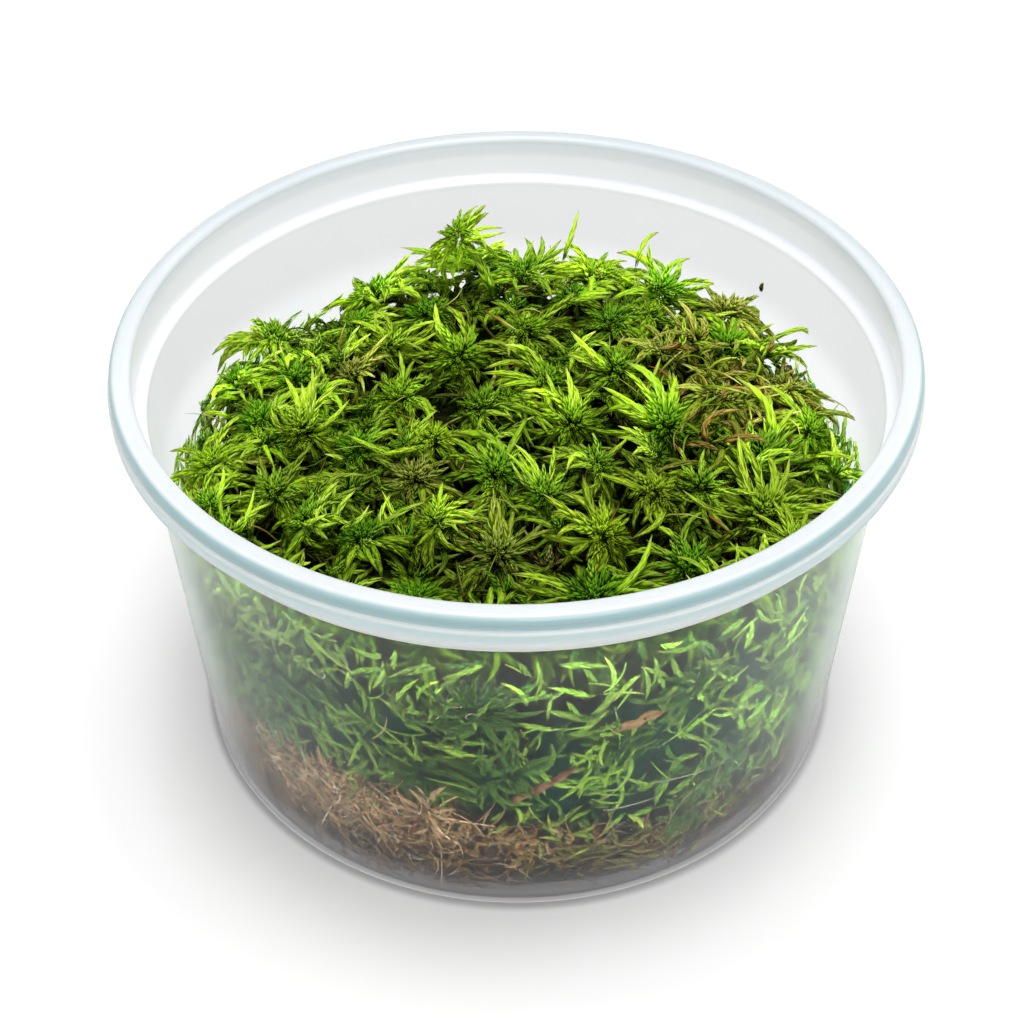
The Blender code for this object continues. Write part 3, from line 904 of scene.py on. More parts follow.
# How yellow and how olive each finish of the frame is.
TONES = {"moss_green": (0.0, 0.0), "moss_bright": (0.45, 0.0), "moss_olive": (0.0, 0.55)}
star_patches = [Patch() for _ in range(3)]
planted = []
for index, name in enumerate(heads):
    low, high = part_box(name)
    reach = 0.25 * (high.x - low.x + high.y - low.y) * STAR_SPREAD
    centre = (low + high) / 2
    place = (centre.x, centre.y, high.z - 0.42 * reach)
    yellow, olive = TONES[slots[name]]
    tone = (max(0.0, yellow + rng.normal(0, 0.12)), max(0.0, olive + rng.normal(0, 0.06)),
            rng.uniform(0.85, 1.15), 0.0)
    behind = centre.y > BACK_ROW * MM
    plant_head(star_patches[index % 3], place, reach * rng.uniform(0.92, 1.18),
               lean_out(centre.x, centre.y, 0.35, 0.32), tone, bundles=int(rng.integers(6, 9)),
               lift=0.75 if behind else rng.uniform(0.2, 0.5))
    hang_branches(star_patches[index % 3], place, reach, tone)
    planted.append((centre.x / MM, centre.y / MM))
for index, patch in enumerate(star_patches):
    names = [name for order, name in enumerate(heads) if order % 3 == index]
    patch.finish("star_moss_%d" % (index + 1), moss, "moss_green", *names)

# %% [markdown]
# ## Younger plants between the big heads
#
# No ground shows between the stars: smaller and lower heads fill every gap,
# and long thin branches arch across from one plant to the next. Their places
# are thrown like darts. A throw that lands too near to another plant is
# thrown again. At the front wall the moss is banked up under the rim, so a
# row of young plants stands there too.

# %% Throw the small heads
FILLERS = 112
MOST_THROWS = 20000
NEAREST = 3.6
DRY_CORNER = (34.0, 5.0)
DRY_RADIUS = 14.0
young_patches = [Patch() for _ in range(2)]
throws = 0
fillers = 0
while fillers < FILLERS and throws < MOST_THROWS:
    throws += 1
    away = 48.5 * math.sqrt(rng.uniform())
    turn = rng.uniform(0, FULL_TURN)
    x, y = away * math.cos(turn), away * math.sin(turn)
    if min(math.dist((x, y), other) for other in planted) < NEAREST:
        continue
    planted.append((x, y))
    height = float(tip_height(x, y)) - rng.uniform(2.2, 7.0)
    dry_share = 0.85 if math.dist((x, y), DRY_CORNER) < DRY_RADIUS else 0.05
    olive = 0.75 if rng.uniform() < dry_share else max(0.0, rng.normal(0.03, 0.06))
    tone = (max(0.0, rng.normal(0.05, 0.12)), olive, rng.uniform(0.9, 1.15), 0.0)
    plant_head(young_patches[fillers % 2], (x * MM, y * MM, height * MM),
               rng.uniform(4.2, 6.0) * MM, lean_out(x * MM, y * MM, 0.4, 0.4), tone, **SMALL_HEAD)
    fillers += 1
print("young heads:", fillers, "after", throws, "throws")

# %% Bank young heads against the front wall
BANK = 16
BANK_RADIUS = 47.5
for index in range(BANK):
    turn = math.radians(-150.0 + 120.0 * (index + 0.5) / BANK) + rng.normal(0, 0.04)
    place = (BANK_RADIUS * math.cos(turn) * MM, BANK_RADIUS * math.sin(turn) * MM,
             rng.uniform(49.0, 51.0) * MM)
    tone = (max(0.0, rng.normal(0.05, 0.12)), 0.0, rng.uniform(0.8, 1.0), 0.0)
    reach = rng.uniform(4.4, 5.4) * MM
    plant_head(young_patches[index % 2], place, reach,
               lean_out(place[0], place[1], 0.5, 0.3), tone, **SMALL_HEAD)
    hang_branches(young_patches[index % 2], place, reach, tone)
for index, patch in enumerate(young_patches):
    patch.finish("young_moss_%d" % (index + 1), moss, "moss_green")

# %% Helpers for branches that lie any way
def roots_below(x, y, least, most):
    """Places from least to most millimetres below the carpet, in metres."""
    return np.stack([x, y, tip_height(x, y) - rng.uniform(least, most, len(x))], -1) * MM


def thrown(count, radius):
    """Two arrays of places thrown evenly over a disc."""
    away = radius * np.sqrt(rng.uniform(size=count))
    turn = rng.uniform(0, FULL_TURN, count)
    return away * np.cos(turn), away * np.sin(turn)


def lie_any_way(pattern, root, lift, droop, swing, length, width):
    """Branches that point any way, with lift, droop and sizes from ranges."""
    count = len(root)
    return grow(pattern, root, rng.uniform(0, FULL_TURN, count), rng.uniform(*lift, count),
                rng.uniform(*droop, count), rng.normal(0, swing, count),
                rng.uniform(*length, count) * MM, rng.uniform(*width, count) * MM)


print("helpers: throw roots, lay branches any way")

# %% Loose branches and bare threads that arch across the gaps
LOOSE = 420
THREADS = 260
loose = Patch()
root = roots_below(*thrown(LOOSE, 48.0), 4.0, 7.0)
tone = np.stack([np.clip(rng.normal(0.1, 0.2, LOOSE), 0, 1),
                 np.where(rng.uniform(size=LOOSE) < 0.2, 0.7, 0.05),
                 rng.uniform(0.8, 1.2, LOOSE), np.zeros(LOOSE)], -1)
for pattern, part in ((LANCE, slice(0, LOOSE // 2)), (TOOTHED, slice(LOOSE // 2, LOOSE))):
    points = lie_any_way(pattern, root[part], (-0.1, 0.9), (0.3, 1.8), 0.6, (4.5, 8.5), (0.35, 0.55))
    loose.add(pattern, points, HANGING_AGE, tone[part], sunk=True)
root = roots_below(*thrown(THREADS, 47.0), 2.5, 6.0)
tone = np.stack([np.zeros(THREADS), rng.uniform(0.4, 1.0, THREADS),
                 rng.uniform(0.5, 1.2, THREADS), (rng.uniform(size=THREADS) < 0.08) * 0.8], -1)
points = lie_any_way(THREAD, root, (-0.2, 0.8), (0.3, 2.4), 0.9, (5.0, 11.0), (0.1, 0.22))
loose.add(THREAD, points, HANGING_AGE, tone, sunk=True)
print("loose:", LOOSE, "branches and", THREADS, "threads")

# %% Brown twigs in the dry corner
DRY_TWIGS = 95
for pattern, width in ((THREAD, (0.12, 0.3)), (LANCE, (0.35, 0.55))):
    x = DRY_CORNER[0] + rng.normal(0, 5.0, DRY_TWIGS)
    y = DRY_CORNER[1] + rng.normal(0, 7.0, DRY_TWIGS)
    root = roots_below(x, y, 0.5, 3.5)
    tone = np.stack([rng.uniform(0, 0.4, DRY_TWIGS), rng.uniform(0.4, 0.9, DRY_TWIGS),
                     rng.uniform(0.8, 1.3, DRY_TWIGS),
                     (rng.uniform(size=DRY_TWIGS) < 0.08) * 0.5], -1)
    points = lie_any_way(pattern, root, (-0.1, 0.7), (0.3, 2.0), 0.8, (4.0, 9.0), width)
    loose.add(pattern, points, HANGING_AGE, tone, sunk=True)
loose.finish("loose_branches", moss, "moss_green")

# %% Twigs and branches that have a place of their own
RED = (0.0, 0.6, 0.6, 0.8)
PINK = (0.3, 0.8, 0.9, 0.3)
BRIGHT = (0.6, 0.0, 1.1, 0.0)
GREEN = (0.1, 0.0, 1.0, 0.0)
# Each twig: pattern, root in millimetres, heading, lift and droop in degrees,
# length and width in millimetres, and tone.
TWIGS = (
    (THREAD, (-4.8, 22.8, 54.6), -53, 10, 30, 6.8, 0.24, PINK),
    (THREAD, (32.5, -13.0, 50.5), -95, 55, 40, 5.0, 0.22, RED),
    (THREAD, (26.8, -22.0, 51.0), -60, 20, 60, 4.0, 0.24, RED),
    (THREAD, (-28.0, 17.5, 49.5), 75, 60, 20, 6.0, 0.18, PINK),
    (THREAD, (6.8, 41.0, 49.0), 100, 65, 20, 5.0, 0.18, RED),
    (LANCE, (8.0, 43.0, 50.0), 55, 60, 50, 10.0, 0.5, BRIGHT),
    (LANCE, (20.0, 41.0, 50.0), 70, 70, 95, 9.0, 0.42, BRIGHT),
    (LANCE, (-43.0, 4.0, 48.5), 175, 40, 130, 8.0, 0.36, BRIGHT),
    (LANCE, (-43.5, 1.0, 48.0), 190, 25, 120, 7.5, 0.34, BRIGHT),
    (LANCE, (-42.0, 8.0, 49.0), 160, 30, 110, 7.0, 0.36, GREEN),
    (LANCE, (41.0, 22.0, 49.0), 20, 40, 90, 8.0, 0.4, BRIGHT),
    (LANCE, (43.0, -8.0, 49.5), -15, 50, 80, 7.5, 0.42, BRIGHT),
    (LANCE, (39.0, 15.5, 51.0), 40, 60, 60, 3.5, 0.5, PINK),
    (LANCE, (24.5, 13.0, 54.0), -20, 40, 70, 3.5, 0.5, PINK),
)
placed = Patch()
for pattern, root, heading, lift, droop, length, width, tone in TWIGS:
    points = grow(pattern, np.array(root) * MM, *np.radians((heading, lift, droop)),
                  rng.normal(0, 0.3), length * MM, width * MM)
    placed.add(pattern, points, 0.9, tone, 0.7)
placed.finish("placed_twigs", moss, "moss_green")

# %% [markdown]
# ## The moss that the wall presses flat
#
# Through the plastic show branches that lie against it, spread like pressed
# flowers, and darker ones behind them. They are grown on a flat sheet first,
# which is then rolled round the tub: sideways on the sheet becomes the way
# round, up stays up, and the height above the sheet becomes the distance in
# from the wall. Nothing may come nearer to the plastic than a hair. The moss
# lies in two layers: whole plants and deep green branches further in, and
# paler single branches close behind the plastic. The deeper layer is painted
# darker and turned towards a dim teal, a painted shade, and the layer against
# the plastic is painted paler and lighter, a painted light.

# %% Roll a flat sheet of branches round the wall
def on_sheet(depth):
    """Roots on the sheet, at depths in millimetres behind the plastic."""
    depth = np.atleast_1d(depth)
    return np.stack([np.zeros(len(depth)), np.zeros(len(depth)), depth * MM], -1)


def roll_round(points, turn, height):
    """Branches grown on a sheet, laid against the inside of the wall.

    turn is the way round of each branch's root, in radians, and height its
    height, in metres.
    """
    turn = np.reshape(turn, (-1, 1))
    height = np.reshape(height, (-1, 1))
    up = height + points[..., 1]
    wall = inner_wall(up / MM) * MM
    depth = np.maximum(points[..., 2], WALL_GAP * MM)
    angle = turn - points[..., 0] / wall
    radius = wall - depth
    return np.stack([radius * np.cos(angle), radius * np.sin(angle), up], -1)


def litter_rise(turn):
    """How high the dead moss lies against the wall, in millimetres."""
    return 10.5 + 10.0 * np.clip(np.cos(turn - math.radians(-122.0)), 0.0, 1.0) ** 3


def wall_top(turn):
    """How high the pressed moss goes: up to the rim in front, less behind."""
    return 44.5 + 8.5 * np.clip(np.cos(turn + math.pi / 2) * 1.6, 0.0, 1.0)


print("wall moss: up to", wall_top(-math.pi / 2), "mm in front and", wall_top(math.pi / 2), "behind")

# %% Whole plants behind the plastic
WALL_STARS = 54
GOLDEN_STEP = 0.618034
BELOW_TOP = 8.0
behind_wall = Patch()
for star in range(WALL_STARS):
    turn = FULL_TURN * (star + rng.uniform(-0.4, 0.4)) * GOLDEN_STEP % FULL_TURN
    height = rng.uniform(litter_rise(turn) + 2.0, wall_top(turn) - BELOW_TOP)
    reach = rng.uniform(4.6, 6.6)
    # Whole plants behind the plastic are kept darker, a painted shade.
    tone = (0.0, max(0.0, rng.normal(0.02, 0.06)), rng.uniform(0.5, 1.0), 0.0)
    for pattern, points, age, luck in head_branches(reach * MM, 5, 6, 9, lift=0.1):
        points = points + np.array([0.0, 0.0, rng.uniform(1.6, 2.6) * MM])
        flat = roll_round(points, np.full(len(points), turn), np.full(len(points), height * MM))
        behind_wall.add(pattern, flat, age, tone, luck)
print("wall stars:", WALL_STARS)

# %% Single branches behind the plastic and against it
SUNNY_SIDE = math.radians(-25.0)


def press(patch, pattern, count, depth, light, length, width):
    """Single branches between two depths behind the plastic.

    Near the top they point down, so that none stands up past the carpet.
    """
    turn = rng.uniform(0, FULL_TURN, count)
    low = litter_rise(turn) - 2.0
    height = low + (wall_top(turn) - low) * rng.uniform(0, 1, count)
    heading = np.where(height > wall_top(turn) - BELOW_TOP, rng.uniform(-math.pi, 0.0, count),
                       rng.uniform(-math.pi, math.pi, count))
    points = grow(pattern, on_sheet(rng.uniform(*depth, count)), heading,
                  rng.uniform(-0.15, 0.15, count), rng.uniform(-0.2, 0.2, count),
                  rng.normal(0, 0.4, count), rng.uniform(*length, count) * MM,
                  rng.uniform(*width, count) * MM)
    olive = np.clip(rng.normal(0.05, 0.1, count) + (height < low + 6) * 0.4, 0, 1)
    # Branches towards the right front are painted lighter, a painted light falling in from that side.
    lit = 1.0 + 0.7 * np.clip(np.cos(turn - SUNNY_SIDE), 0.0, 1.0) ** 2
    tone = np.stack([np.clip(rng.normal(0.1, 0.2, count), 0, 1), olive,
                     lit * rng.uniform(*light, count), np.zeros(count)], -1)
    luck = rng.uniform(0, 1, count)
    patch.add(pattern, roll_round(points, turn, height * MM), rng.uniform(0.5, 1.0, count),
              tone, luck)


at_wall = Patch()
# The light ranges are painted: higher against the plastic, a painted light, and lower for the deeper
# branches, a painted shade.
# Each line: pattern, count, then the ranges of depth, light, length and width.
press(behind_wall, LANCE, 300, (1.3, 3.2), (0.8, 1.3), (4.0, 8.0), (0.35, 0.6))
press(behind_wall, TOOTHED, 300, (1.3, 3.2), (0.8, 1.3), (4.0, 8.0), (0.35, 0.6))
press(at_wall, LANCE, 450, (0.6, 1.1), (1.2, 2.0), (3.0, 8.0), (0.28, 0.48))
press(at_wall, SPRAY, 850, (0.6, 1.1), (1.2, 2.2), (3.0, 8.5), (0.2, 0.36))
press(at_wall, THREAD, 240, (0.6, 0.9), (0.9, 1.8), (3.0, 9.0), (0.1, 0.2))
# Two painted copies of the moss: the deeper layer turned towards a dim teal, a painted shade, and the
# layer against the plastic turned paler, a painted light.
shaded = moss_shade("shaded_moss", 0.45, (0.05, 0.26, 0.15))
pressed = moss_shade("pressed_moss", 0.2, (0.66, 0.78, 0.34))
behind_wall.finish("wall_moss_1", shaded, "moss_green")
at_wall.finish("wall_moss_2", pressed, "moss_green")

# %% [markdown]
# ## The shoot that stands clear
#
# At the back left one plant leans up out of the crowd. Its head is grown like
# the others but yellower, and its stem is one long arc from the bed to the
# head, wrapped in leaves of its own.

# %% Grow the tall shoot
SHOOT_HEAD = np.array((-9.5, 36.0, 61.5))
SHOOT_FOOT = np.array((-3.5, 31.5, 51.4))
SHOOT_LEAN = Euler((math.radians(8), math.radians(-38), 0.0))
shoot = Patch()
tone = (0.3, 0.0, 1.0, 0.0)
plant_head(shoot, (SHOOT_HEAD - (0.0, 0.0, 1.0)) * MM, 5.6 * MM, SHOOT_LEAN, tone, buds=22)
rise = SHOOT_HEAD - SHOOT_FOOT
heading = math.atan2(rise[1], rise[0])
for pattern, width in ((THREAD, 0.75), (TOOTHED, 0.85), (LANCE, 0.8)):
    points = grow(pattern, SHOOT_FOOT * MM, heading, math.radians(75), math.radians(45), 0.0,
                  13.0 * MM, width * MM)
    shoot.add(pattern, points, 0.7, tone, 0.5)
shoot.finish("tall_shoot_leaves", moss, "moss_bright", "tall_shoot")

# %% [markdown]
# ## Dead moss on the floor
#
# The lowest layer is last year's moss: brown, matted and dark, heaped against
# the wall at the front left. Its bulk is a mound like the bed above it, painted
# dark grey low down, a painted shade at the bottom of the tub, and brown in
# patches higher up. What the eye reads as dead moss are the threads, tufts and
# bare branches pressed against the plastic, so those are rolled round the wall
# as the green ones were. Their finish reads the same numbers as the live moss
# does, with colours of its own. Those low down are painted darker, a painted
# shade.

# %% Pull up the heap
HEAP_FLOOR = 2.1
HEAP_TOP = 14.5
# Where the litter rises this far, the heap stays as it was pulled up.
LEVEL_RISE = 16.5
heap = lumpy_mound("dead_moss_heap", (
    (48.7, 1.95), (49.4, 3.5), (49.6, 7.0), (49.8, 11.0), (49.4, 14.0), (40.0, HEAP_TOP),
    (20.0, HEAP_TOP)))
for vertex in heap.data.vertices:
    turn = math.atan2(vertex.co.y, vertex.co.x)
    share = max(vertex.co.z / MM - HEAP_FLOOR, 0.0) / (HEAP_TOP - HEAP_FLOOR)
    vertex.co.z += (float(litter_rise(turn)) - LEVEL_RISE) * share * MM
push_lumps(heap, 4.0, 1.3, 0.95)
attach(heap, "root")
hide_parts("dead_moss")
print("heap:", len(heap.data.polygons), "faces")

# %% Rot, with a painted shade low down
rot = Shade("dark_rot", roughness=0.9, specular_ior_level=0.2)
spot = rot.place()
fine = rot.noise(spot, 700.0, 4.0, 0.7)
patchy = rot.noise(spot, 110.0, 2.0, 0.5)
# Dark grey low down, a painted shade at the bottom of the tub; brown in patches higher up, the dead
# moss's own colour.
grey = rot.ramp(fine, (0.35, (0.040, 0.036, 0.036)), (0.7, (0.090, 0.080, 0.078)))
brown = rot.ramp(fine, (0.35, (0.095, 0.075, 0.068)), (0.7, (0.330, 0.250, 0.205)))
high = rot.axis(spot, 2).over(6.0 * MM, 13.0 * MM)
rot.paint(base_color=rot.mix(high * patchy.over(0.3, 0.6), grey, brown))
rot.bump(fine, 0.8, 0.001)
heap.data.materials.append(rot.material)
print("heap finish: wet grey below, brown above")

# %% Dry moss: tan, brown and rusty
dry = Shade("dry_moss", roughness=0.7, specular_ior_level=0.25)
along, leaf, luck, age = dry.attribute("growth")
yellow, olive, light, red = dry.attribute("tone")
colour = dry.ramp((along * 0.4 + luck * 0.6).clamp(), (0.0, (0.20, 0.105, 0.05)),
                  (0.5, (0.50, 0.28, 0.13)), (1.0, (0.88, 0.58, 0.33)))
colour = dry.mix(olive, colour, (0.28, 0.29, 0.05))
colour = dry.mix(red, colour, (0.20, 0.055, 0.03))
colour = dry.mix(yellow, colour, (0.75, 0.70, 0.55))
# Leaf bases darker and points lighter: a painted shade where leaves overlap and a painted highlight, as
# on the live moss.
dim = dry.node("ShaderNodeCombineColor", {}, *([light * (0.7 + 0.5 * leaf)] * 3))
dry.paint(base_color=dry.mix(1.0, colour, dim, "MULTIPLY"), roughness=0.8 - 0.2 * leaf)
print("dry moss finish: painted by growth")

# %% Threads, dead branches and tufts against the wall
LITTER_AGE = 0.8
HEAP_TURN = math.radians(-124)
LITTER_LOW = 2.4
LITTER = ((THREAD, 1100, (3.0, 8.0), (0.08, 0.2)), (TOOTHED, 300, (3.0, 6.5), (0.3, 0.5)),
          (BUD, 500, (1.5, 3.5), (0.2, 0.45)))
litter = Patch()
for pattern, count, length, width in LITTER:
    turn = np.where(rng.uniform(size=count) < 0.6, rng.normal(HEAP_TURN, 0.32, count),
                    rng.uniform(-math.pi, math.pi, count))
    top = litter_rise(turn) + 1.0
    height = LITTER_LOW + (top - LITTER_LOW) * rng.uniform(0.0, 1.0, count) ** 0.65
    root = on_sheet(rng.uniform(0.15, 0.8, count))
    points = lie_any_way(pattern, root, (-0.2, 0.2), (-0.4, 0.4), 0.9, length, width)
    # Litter higher up is lighter and lower down darker, a painted shade at the bottom of the tub.
    high = np.clip((height - 6.0) / 8.0, 0.0, 1.0)
    brown = np.clip(np.cos(turn - HEAP_TURN), 0.0, 1.0) ** 2
    tone = np.stack([(rng.uniform(size=count) < 0.04) * 0.8,
                     rng.uniform(0, 1.0, count) * (1.0 - 0.8 * brown),
                     rng.uniform(0.5, 1.1, count) + 1.1 * high,
                     (rng.uniform(size=count) < 0.12) * 0.8], -1)
    litter.add(pattern, roll_round(points, turn, height * MM), LITTER_AGE, tone)
print("litter:", sum(count for _, count, _, _ in LITTER), "pieces")

# %% Olive sprays low in front
LOW_SPRAYS = 60
turn = rng.normal(math.radians(-68), math.radians(10), LOW_SPRAYS)
points = grow(SPRAY, on_sheet(rng.uniform(0.2, 0.5, LOW_SPRAYS)),
              rng.uniform(0, FULL_TURN, LOW_SPRAYS), 0.0, 0.0, rng.normal(0, 0.5, LOW_SPRAYS),
              rng.uniform(3.0, 6.5, LOW_SPRAYS) * MM, rng.uniform(0.2, 0.36, LOW_SPRAYS) * MM)
tone = np.stack([np.zeros(LOW_SPRAYS), rng.uniform(0.6, 1.0, LOW_SPRAYS),
                 rng.uniform(1.0, 2.0, LOW_SPRAYS), np.zeros(LOW_SPRAYS)], -1)
height = rng.uniform(4.5, 13.0, LOW_SPRAYS)
litter.add(SPRAY, roll_round(points, turn, height * MM), LITTER_AGE, tone)
litter.finish("dead_moss_litter", dry.material, "litter_brown")

# %% [markdown]
# ## Small things on the plastic
#
# Long fibres, dark specks and curls cling to the inside of the wall. Each
# fibre has its place: the way round in degrees from the right, the height in
# millimetres, the way it points in degrees, its length and width, and its
# kind. The larger specks have a place too, and the finest ones are scattered
# over the front. All are grown with the same helper as the rest.

# %% Lay a thread or a speck on the wall
def cling(patch, pattern, depth, turn, height, heading, swing, length, width, luck, tone):
    """Add branches that lie flat at a depth behind the plastic.

    turn is in degrees, heading and swing are in radians, and depth, height,
    length and width in millimetres.
    """
    count = len(np.atleast_1d(turn))
    points = grow(pattern, on_sheet(np.full(count, depth)), heading, 0.0, 0.0, swing,
                  length * MM, width * MM)
    patch.add(pattern, roll_round(points, np.radians(turn), height * MM), LITTER_AGE, tone, luck)


print("helper: things that cling to the wall")

# %% Fibres, twigs and specks
FIBRES = (
    (-69.1, 23.7, -12, 15.1, 0.10, "pale"), (-76.9, 20.1, -5, 8.9, 0.10, "pale"),
    (-76.5, 21.6, -75, 10.9, 0.08, "tan"), (-64.1, 14.0, 77, 9.1, 0.14, "green"),
    (-77.8, 22.7, 10, 4.1, 0.14, "green"), (-103.2, 12.3, -90, 12.0, 0.09, "pale"),
    (-113.2, 33.4, 40, 6.6, 0.16, "green"), (-57.1, 33.1, 72, 4.8, 0.20, "dark"),
    (-49.6, 18.6, 3, 5.8, 0.24, "dark"), (-59.0, 15.1, 188, 4.8, 0.22, "dark"),
    (-141.5, 20.8, 0, 9.4, 0.13, "dark"), (-143.5, 33.1, -71, 8.0, 0.12, "tan"),
    (-136.0, 33.0, -65, 9.0, 0.12, "tan"), (-42.3, 39.4, -82, 10.0, 0.10, "pale"),
    (-45.0, 30.0, -50, 6.0, 0.10, "pale"), (-66.0, 14.0, -60, 6.0, 0.12, "tan"),
    (-102.1, 42.0, -31, 2.0, 0.14, "white"), (-98.3, 44.7, -77, 2.8, 0.14, "white"),
    (-97.4, 41.8, 200, 1.6, 0.12, "white"), (-120.0, 44.0, -50, 3.0, 0.12, "white"),
    (60.0, 30.0, 30, 12.0, 0.10, "pale"), (110.0, 22.0, -20, 10.0, 0.12, "tan"),
    (170.0, 27.0, 70, 8.0, 0.12, "dark"), (20.0, 20.0, 140, 9.0, 0.10, "pale"),
)
FIBRE_TONES = {"pale": (1.0, 0.0, 1.3, 0.0), "white": (1.0, 0.0, 1.6, 0.0),
               "tan": (0.2, 0.0, 1.0, 0.1), "dark": (0.0, 0.9, 0.25, 0.0),
               "green": (0.1, 1.0, 2.2, 0.0)}
SPECKS = (
    (-50.5, 16.0), (-44.1, 13.8), (-52.6, 12.2), (-57.3, 13.3), (-59.5, 13.2), (-63.5, 14.0),
    (-55.8, 16.0), (-50.7, 25.5), (-142.2, 39.3), (-144.3, 32.4), (-140.0, 45.0), (-40.0, 20.0),
    (40.5, 49.7), (38.7, 44.2),
)
FINE_SPECKS = 110
CURLED = 2.8
clinging = Patch()
for turn, height, heading, length, width, kind in FIBRES:
    swing = rng.normal(0, 0.5) if length > 4 else CURLED
    cling(clinging, THREAD, 0.25, turn, height, math.radians(180 - heading), swing, length, width,
          0.9, FIBRE_TONES[kind])
for turn, height in SPECKS:
    cling(clinging, BUD, 0.2, turn, height, rng.uniform(0, FULL_TURN), rng.normal(0, 1.0),
          rng.uniform(0.9, 2.4), rng.uniform(0.25, 0.5), 0.5, (0.0, 1.0, 0.22, 0.0))
cling(clinging, BUD, 0.2, rng.uniform(-165.0, -15.0, FINE_SPECKS),
      rng.uniform(4.0, 48.0, FINE_SPECKS), rng.uniform(0, FULL_TURN, FINE_SPECKS), 0.5,
      rng.uniform(0.25, 0.9, FINE_SPECKS), rng.uniform(0.1, 0.22, FINE_SPECKS), 0.5,
      (0.0, 0.7, 0.3, 0.2))
clinging.finish("fibres_and_specks", dry.material, "litter_brown")

# %% [markdown]
# ## Three scraps against the wall
#
# Against the wall lie a sliver of bark, a curled brown leaf and a dead frond.
# The sliver and the leaf are flat, so each starts as a grid, gets its outline
# by moving the grid's points in and out, gets a thickness from a Solidify
# modifier, and is then laid round the wall as a sticker would be. The frond
# is a small branch with dry leaves, so the same helper grows it as the moss.

# %% Cut a flat scrap and lay it on the wall
SCRAP_THICKNESS = 0.25


def flat_scrap(name, length, tilt, half_width, curl, turn, height):
    """A thin ragged sheet against the inside of the wall.

    half_width and curl give the half width and the bow of the sheet, in
    millimetres, at a place that runs from -1 to 1 along it.
    """
    bpy.ops.object.select_all(action="DESELECT")
    bpy.ops.mesh.primitive_grid_add(x_subdivisions=48, y_subdivisions=6, size=length * MM)
    scrap = bpy.context.object
    scrap.name = name
    for vertex in scrap.data.vertices:
        along = vertex.co.x / (0.5 * length * MM)
        side = vertex.co.y / (0.5 * length * MM)
        vertex.co.y = side * half_width(along, side) * MM
        vertex.co.z = -(curl(along) + 0.25 * side * side) * MM
    solid = scrap.modifiers.new("thickness", "SOLIDIFY")
    solid.thickness = SCRAP_THICKNESS * MM
    solid.offset = -1.0
    bpy.ops.object.modifier_apply(modifier="thickness")
    scrap.rotation_euler.z = math.radians(tilt)
    bpy.ops.object.transform_apply(location=True, rotation=True, scale=True)
    for vertex in scrap.data.vertices:
        x, y, z = vertex.co
        up = height * MM + y
        radius = (inner_wall(up / MM) - WALL_GAP) * MM + z
        angle = math.radians(turn) + x / radius
        vertex.co = (radius * math.cos(angle), radius * math.sin(angle), up)
    bpy.ops.object.mode_set(mode="EDIT")
    bpy.ops.mesh.select_all(action="SELECT")
    bpy.ops.mesh.normals_make_consistent(inside=False)
    bpy.ops.object.mode_set(mode="OBJECT")
    bpy.ops.object.shade_smooth()
    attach(scrap, "root")
    print(name + ":", len(scrap.data.polygons), "faces")
    return scrap


print("helper: a flat scrap rolled onto the wall")

# %% The finish and the outlines of the scraps
def grained(name, dark, pale, grain):
    """A dry brown finish, dark and pale in streaks and blots."""
    shade = Shade(name, roughness=0.7, specular_ior_level=0.3)
    spot = shade.place()
    lines = shade.noise(shade.stretch(spot, grain), 1.0, 4.0, 0.6)
    blots = shade.noise(spot, 400.0, 3.0, 0.5)
    worn = lines.over(0.35, 0.65) * 0.7 + blots.over(0.4, 0.7) * 0.3
    shade.paint(base_color=shade.mix(worn, dark, pale))
    shade.bump(lines, 0.6, 0.0003)
    return shade.material


def sliver_width(along, side):
    """A long splinter with a slightly wavy edge."""
    return 0.75 * (1.0 - abs(along) ** 3) ** 0.5 + 0.12 * math.sin(9 * along + 2 * side) + 0.06


def lobed_width(along, side):
    """A leaf with lobes, pointed at both ends."""
    lobes = 0.45 + 0.55 * abs(math.sin(4.2 * along + 0.7 * side))
    return 1.15 * lobes * (1.0 - 0.92 * abs(along) ** 2.5) + 0.05


print("outlines: a splinter and a lobed leaf")

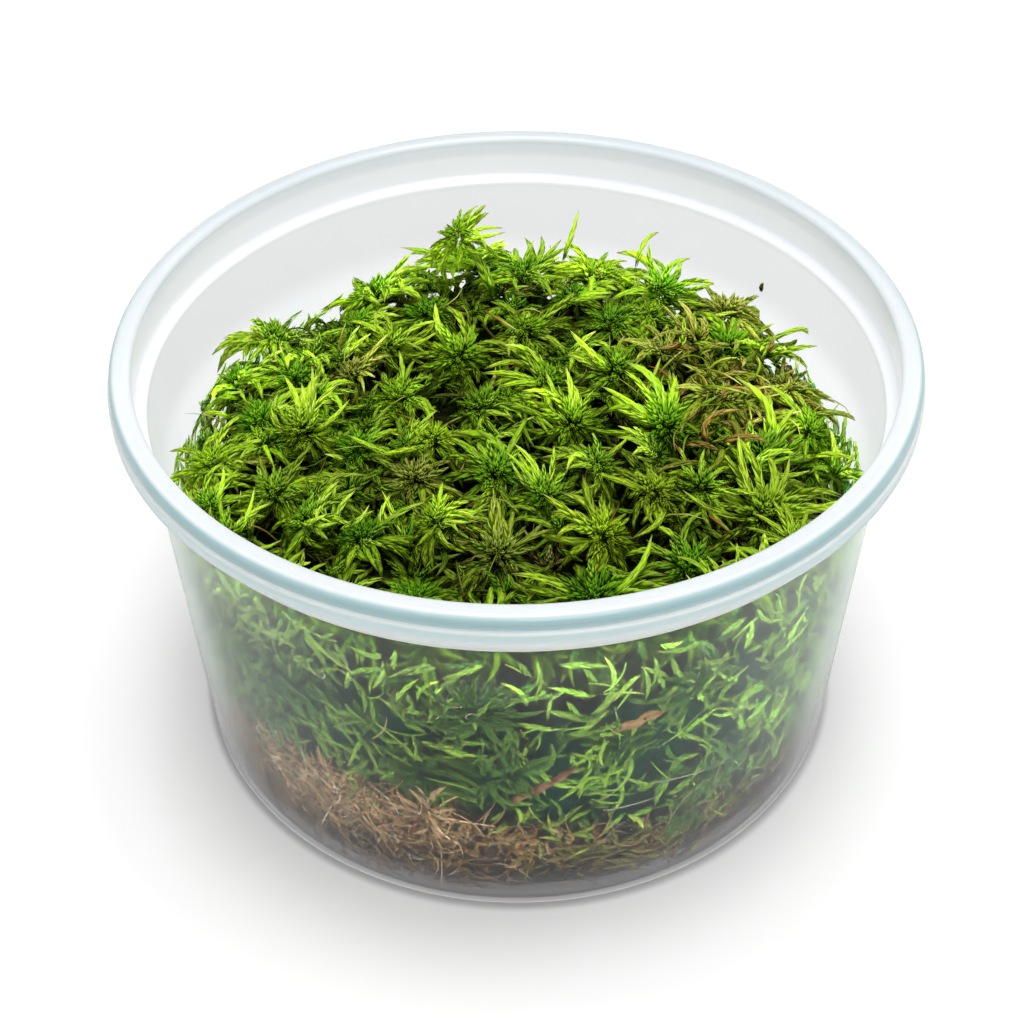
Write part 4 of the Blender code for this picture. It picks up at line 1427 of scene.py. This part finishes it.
# %% The sliver and the leaf
sliver = flat_scrap("bark_sliver_curled", 11.6, 38, sliver_width,
                    lambda along: 0.15 * along ** 2, -86.3, 27.2)
sliver.data.materials.append(grained("bark_grain", (0.16, 0.065, 0.035), (0.50, 0.25, 0.14),
                                     (700.0, 700.0, 260.0)))
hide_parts("bark_sliver")
leaf = flat_scrap("brown_leaf_curled", 8.8, 12, lobed_width,
                  lambda along: 0.12 + 0.12 * math.sin(3.0 * along), -71.4, 38.3)
leaf.data.materials.append(grained("leaf_brown", (0.34, 0.17, 0.05), (0.74, 0.46, 0.18),
                                   (500.0, 500.0, 1500.0)))
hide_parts("brown_leaf")

# %% Grow the dead frond
# Each branch: pattern, way round, height, heading, length and width.
FROND = (
    (SPRAY, -105.0, 20.0, 88, 8.0, 0.42), (SPRAY, -105.3, 21.0, 68, 5.0, 0.34),
    (SPRAY, -105.0, 21.0, 112, 5.0, 0.32), (SPRAY, -104.0, 19.5, 48, 3.5, 0.3),
    (SPRAY, -106.5, 20.0, 140, 4.0, 0.32), (SPRAY, -105.5, 19.0, 172, 6.5, 0.32),
    (SPRAY, -108.5, 20.0, 120, 3.5, 0.28), (SPRAY, -109.0, 19.5, 195, 3.5, 0.28),
    (LANCE, -104.0, 19.0, 12, 3.0, 0.3), (THREAD, -104.0, 19.3, -8, 9.0, 0.16),
    (THREAD, -104.5, 19.5, -18, 7.0, 0.14), (THREAD, -104.8, 20.0, -88, 8.0, 0.3),
    (LANCE, -104.7, 17.0, -70, 4.0, 0.4), (LANCE, -105.0, 16.0, -115, 3.5, 0.4),
)
frond = Patch()
for pattern, turn, height, heading, length, width in FROND:
    cling(frond, pattern, 0.25, turn, height, math.radians(180 - heading), rng.normal(0, 0.35),
          length, width, rng.uniform(0.5, 1.0), (0.12, 0.0, 2.4, 0.0))
frond.finish("dead_frond_leaves", dry.material, "litter_brown", "dead_frond")

# %% The triangle count, and the end
print("moss and litter in all:", Patch.total, "triangles")
bpy.context.view_layer.update()
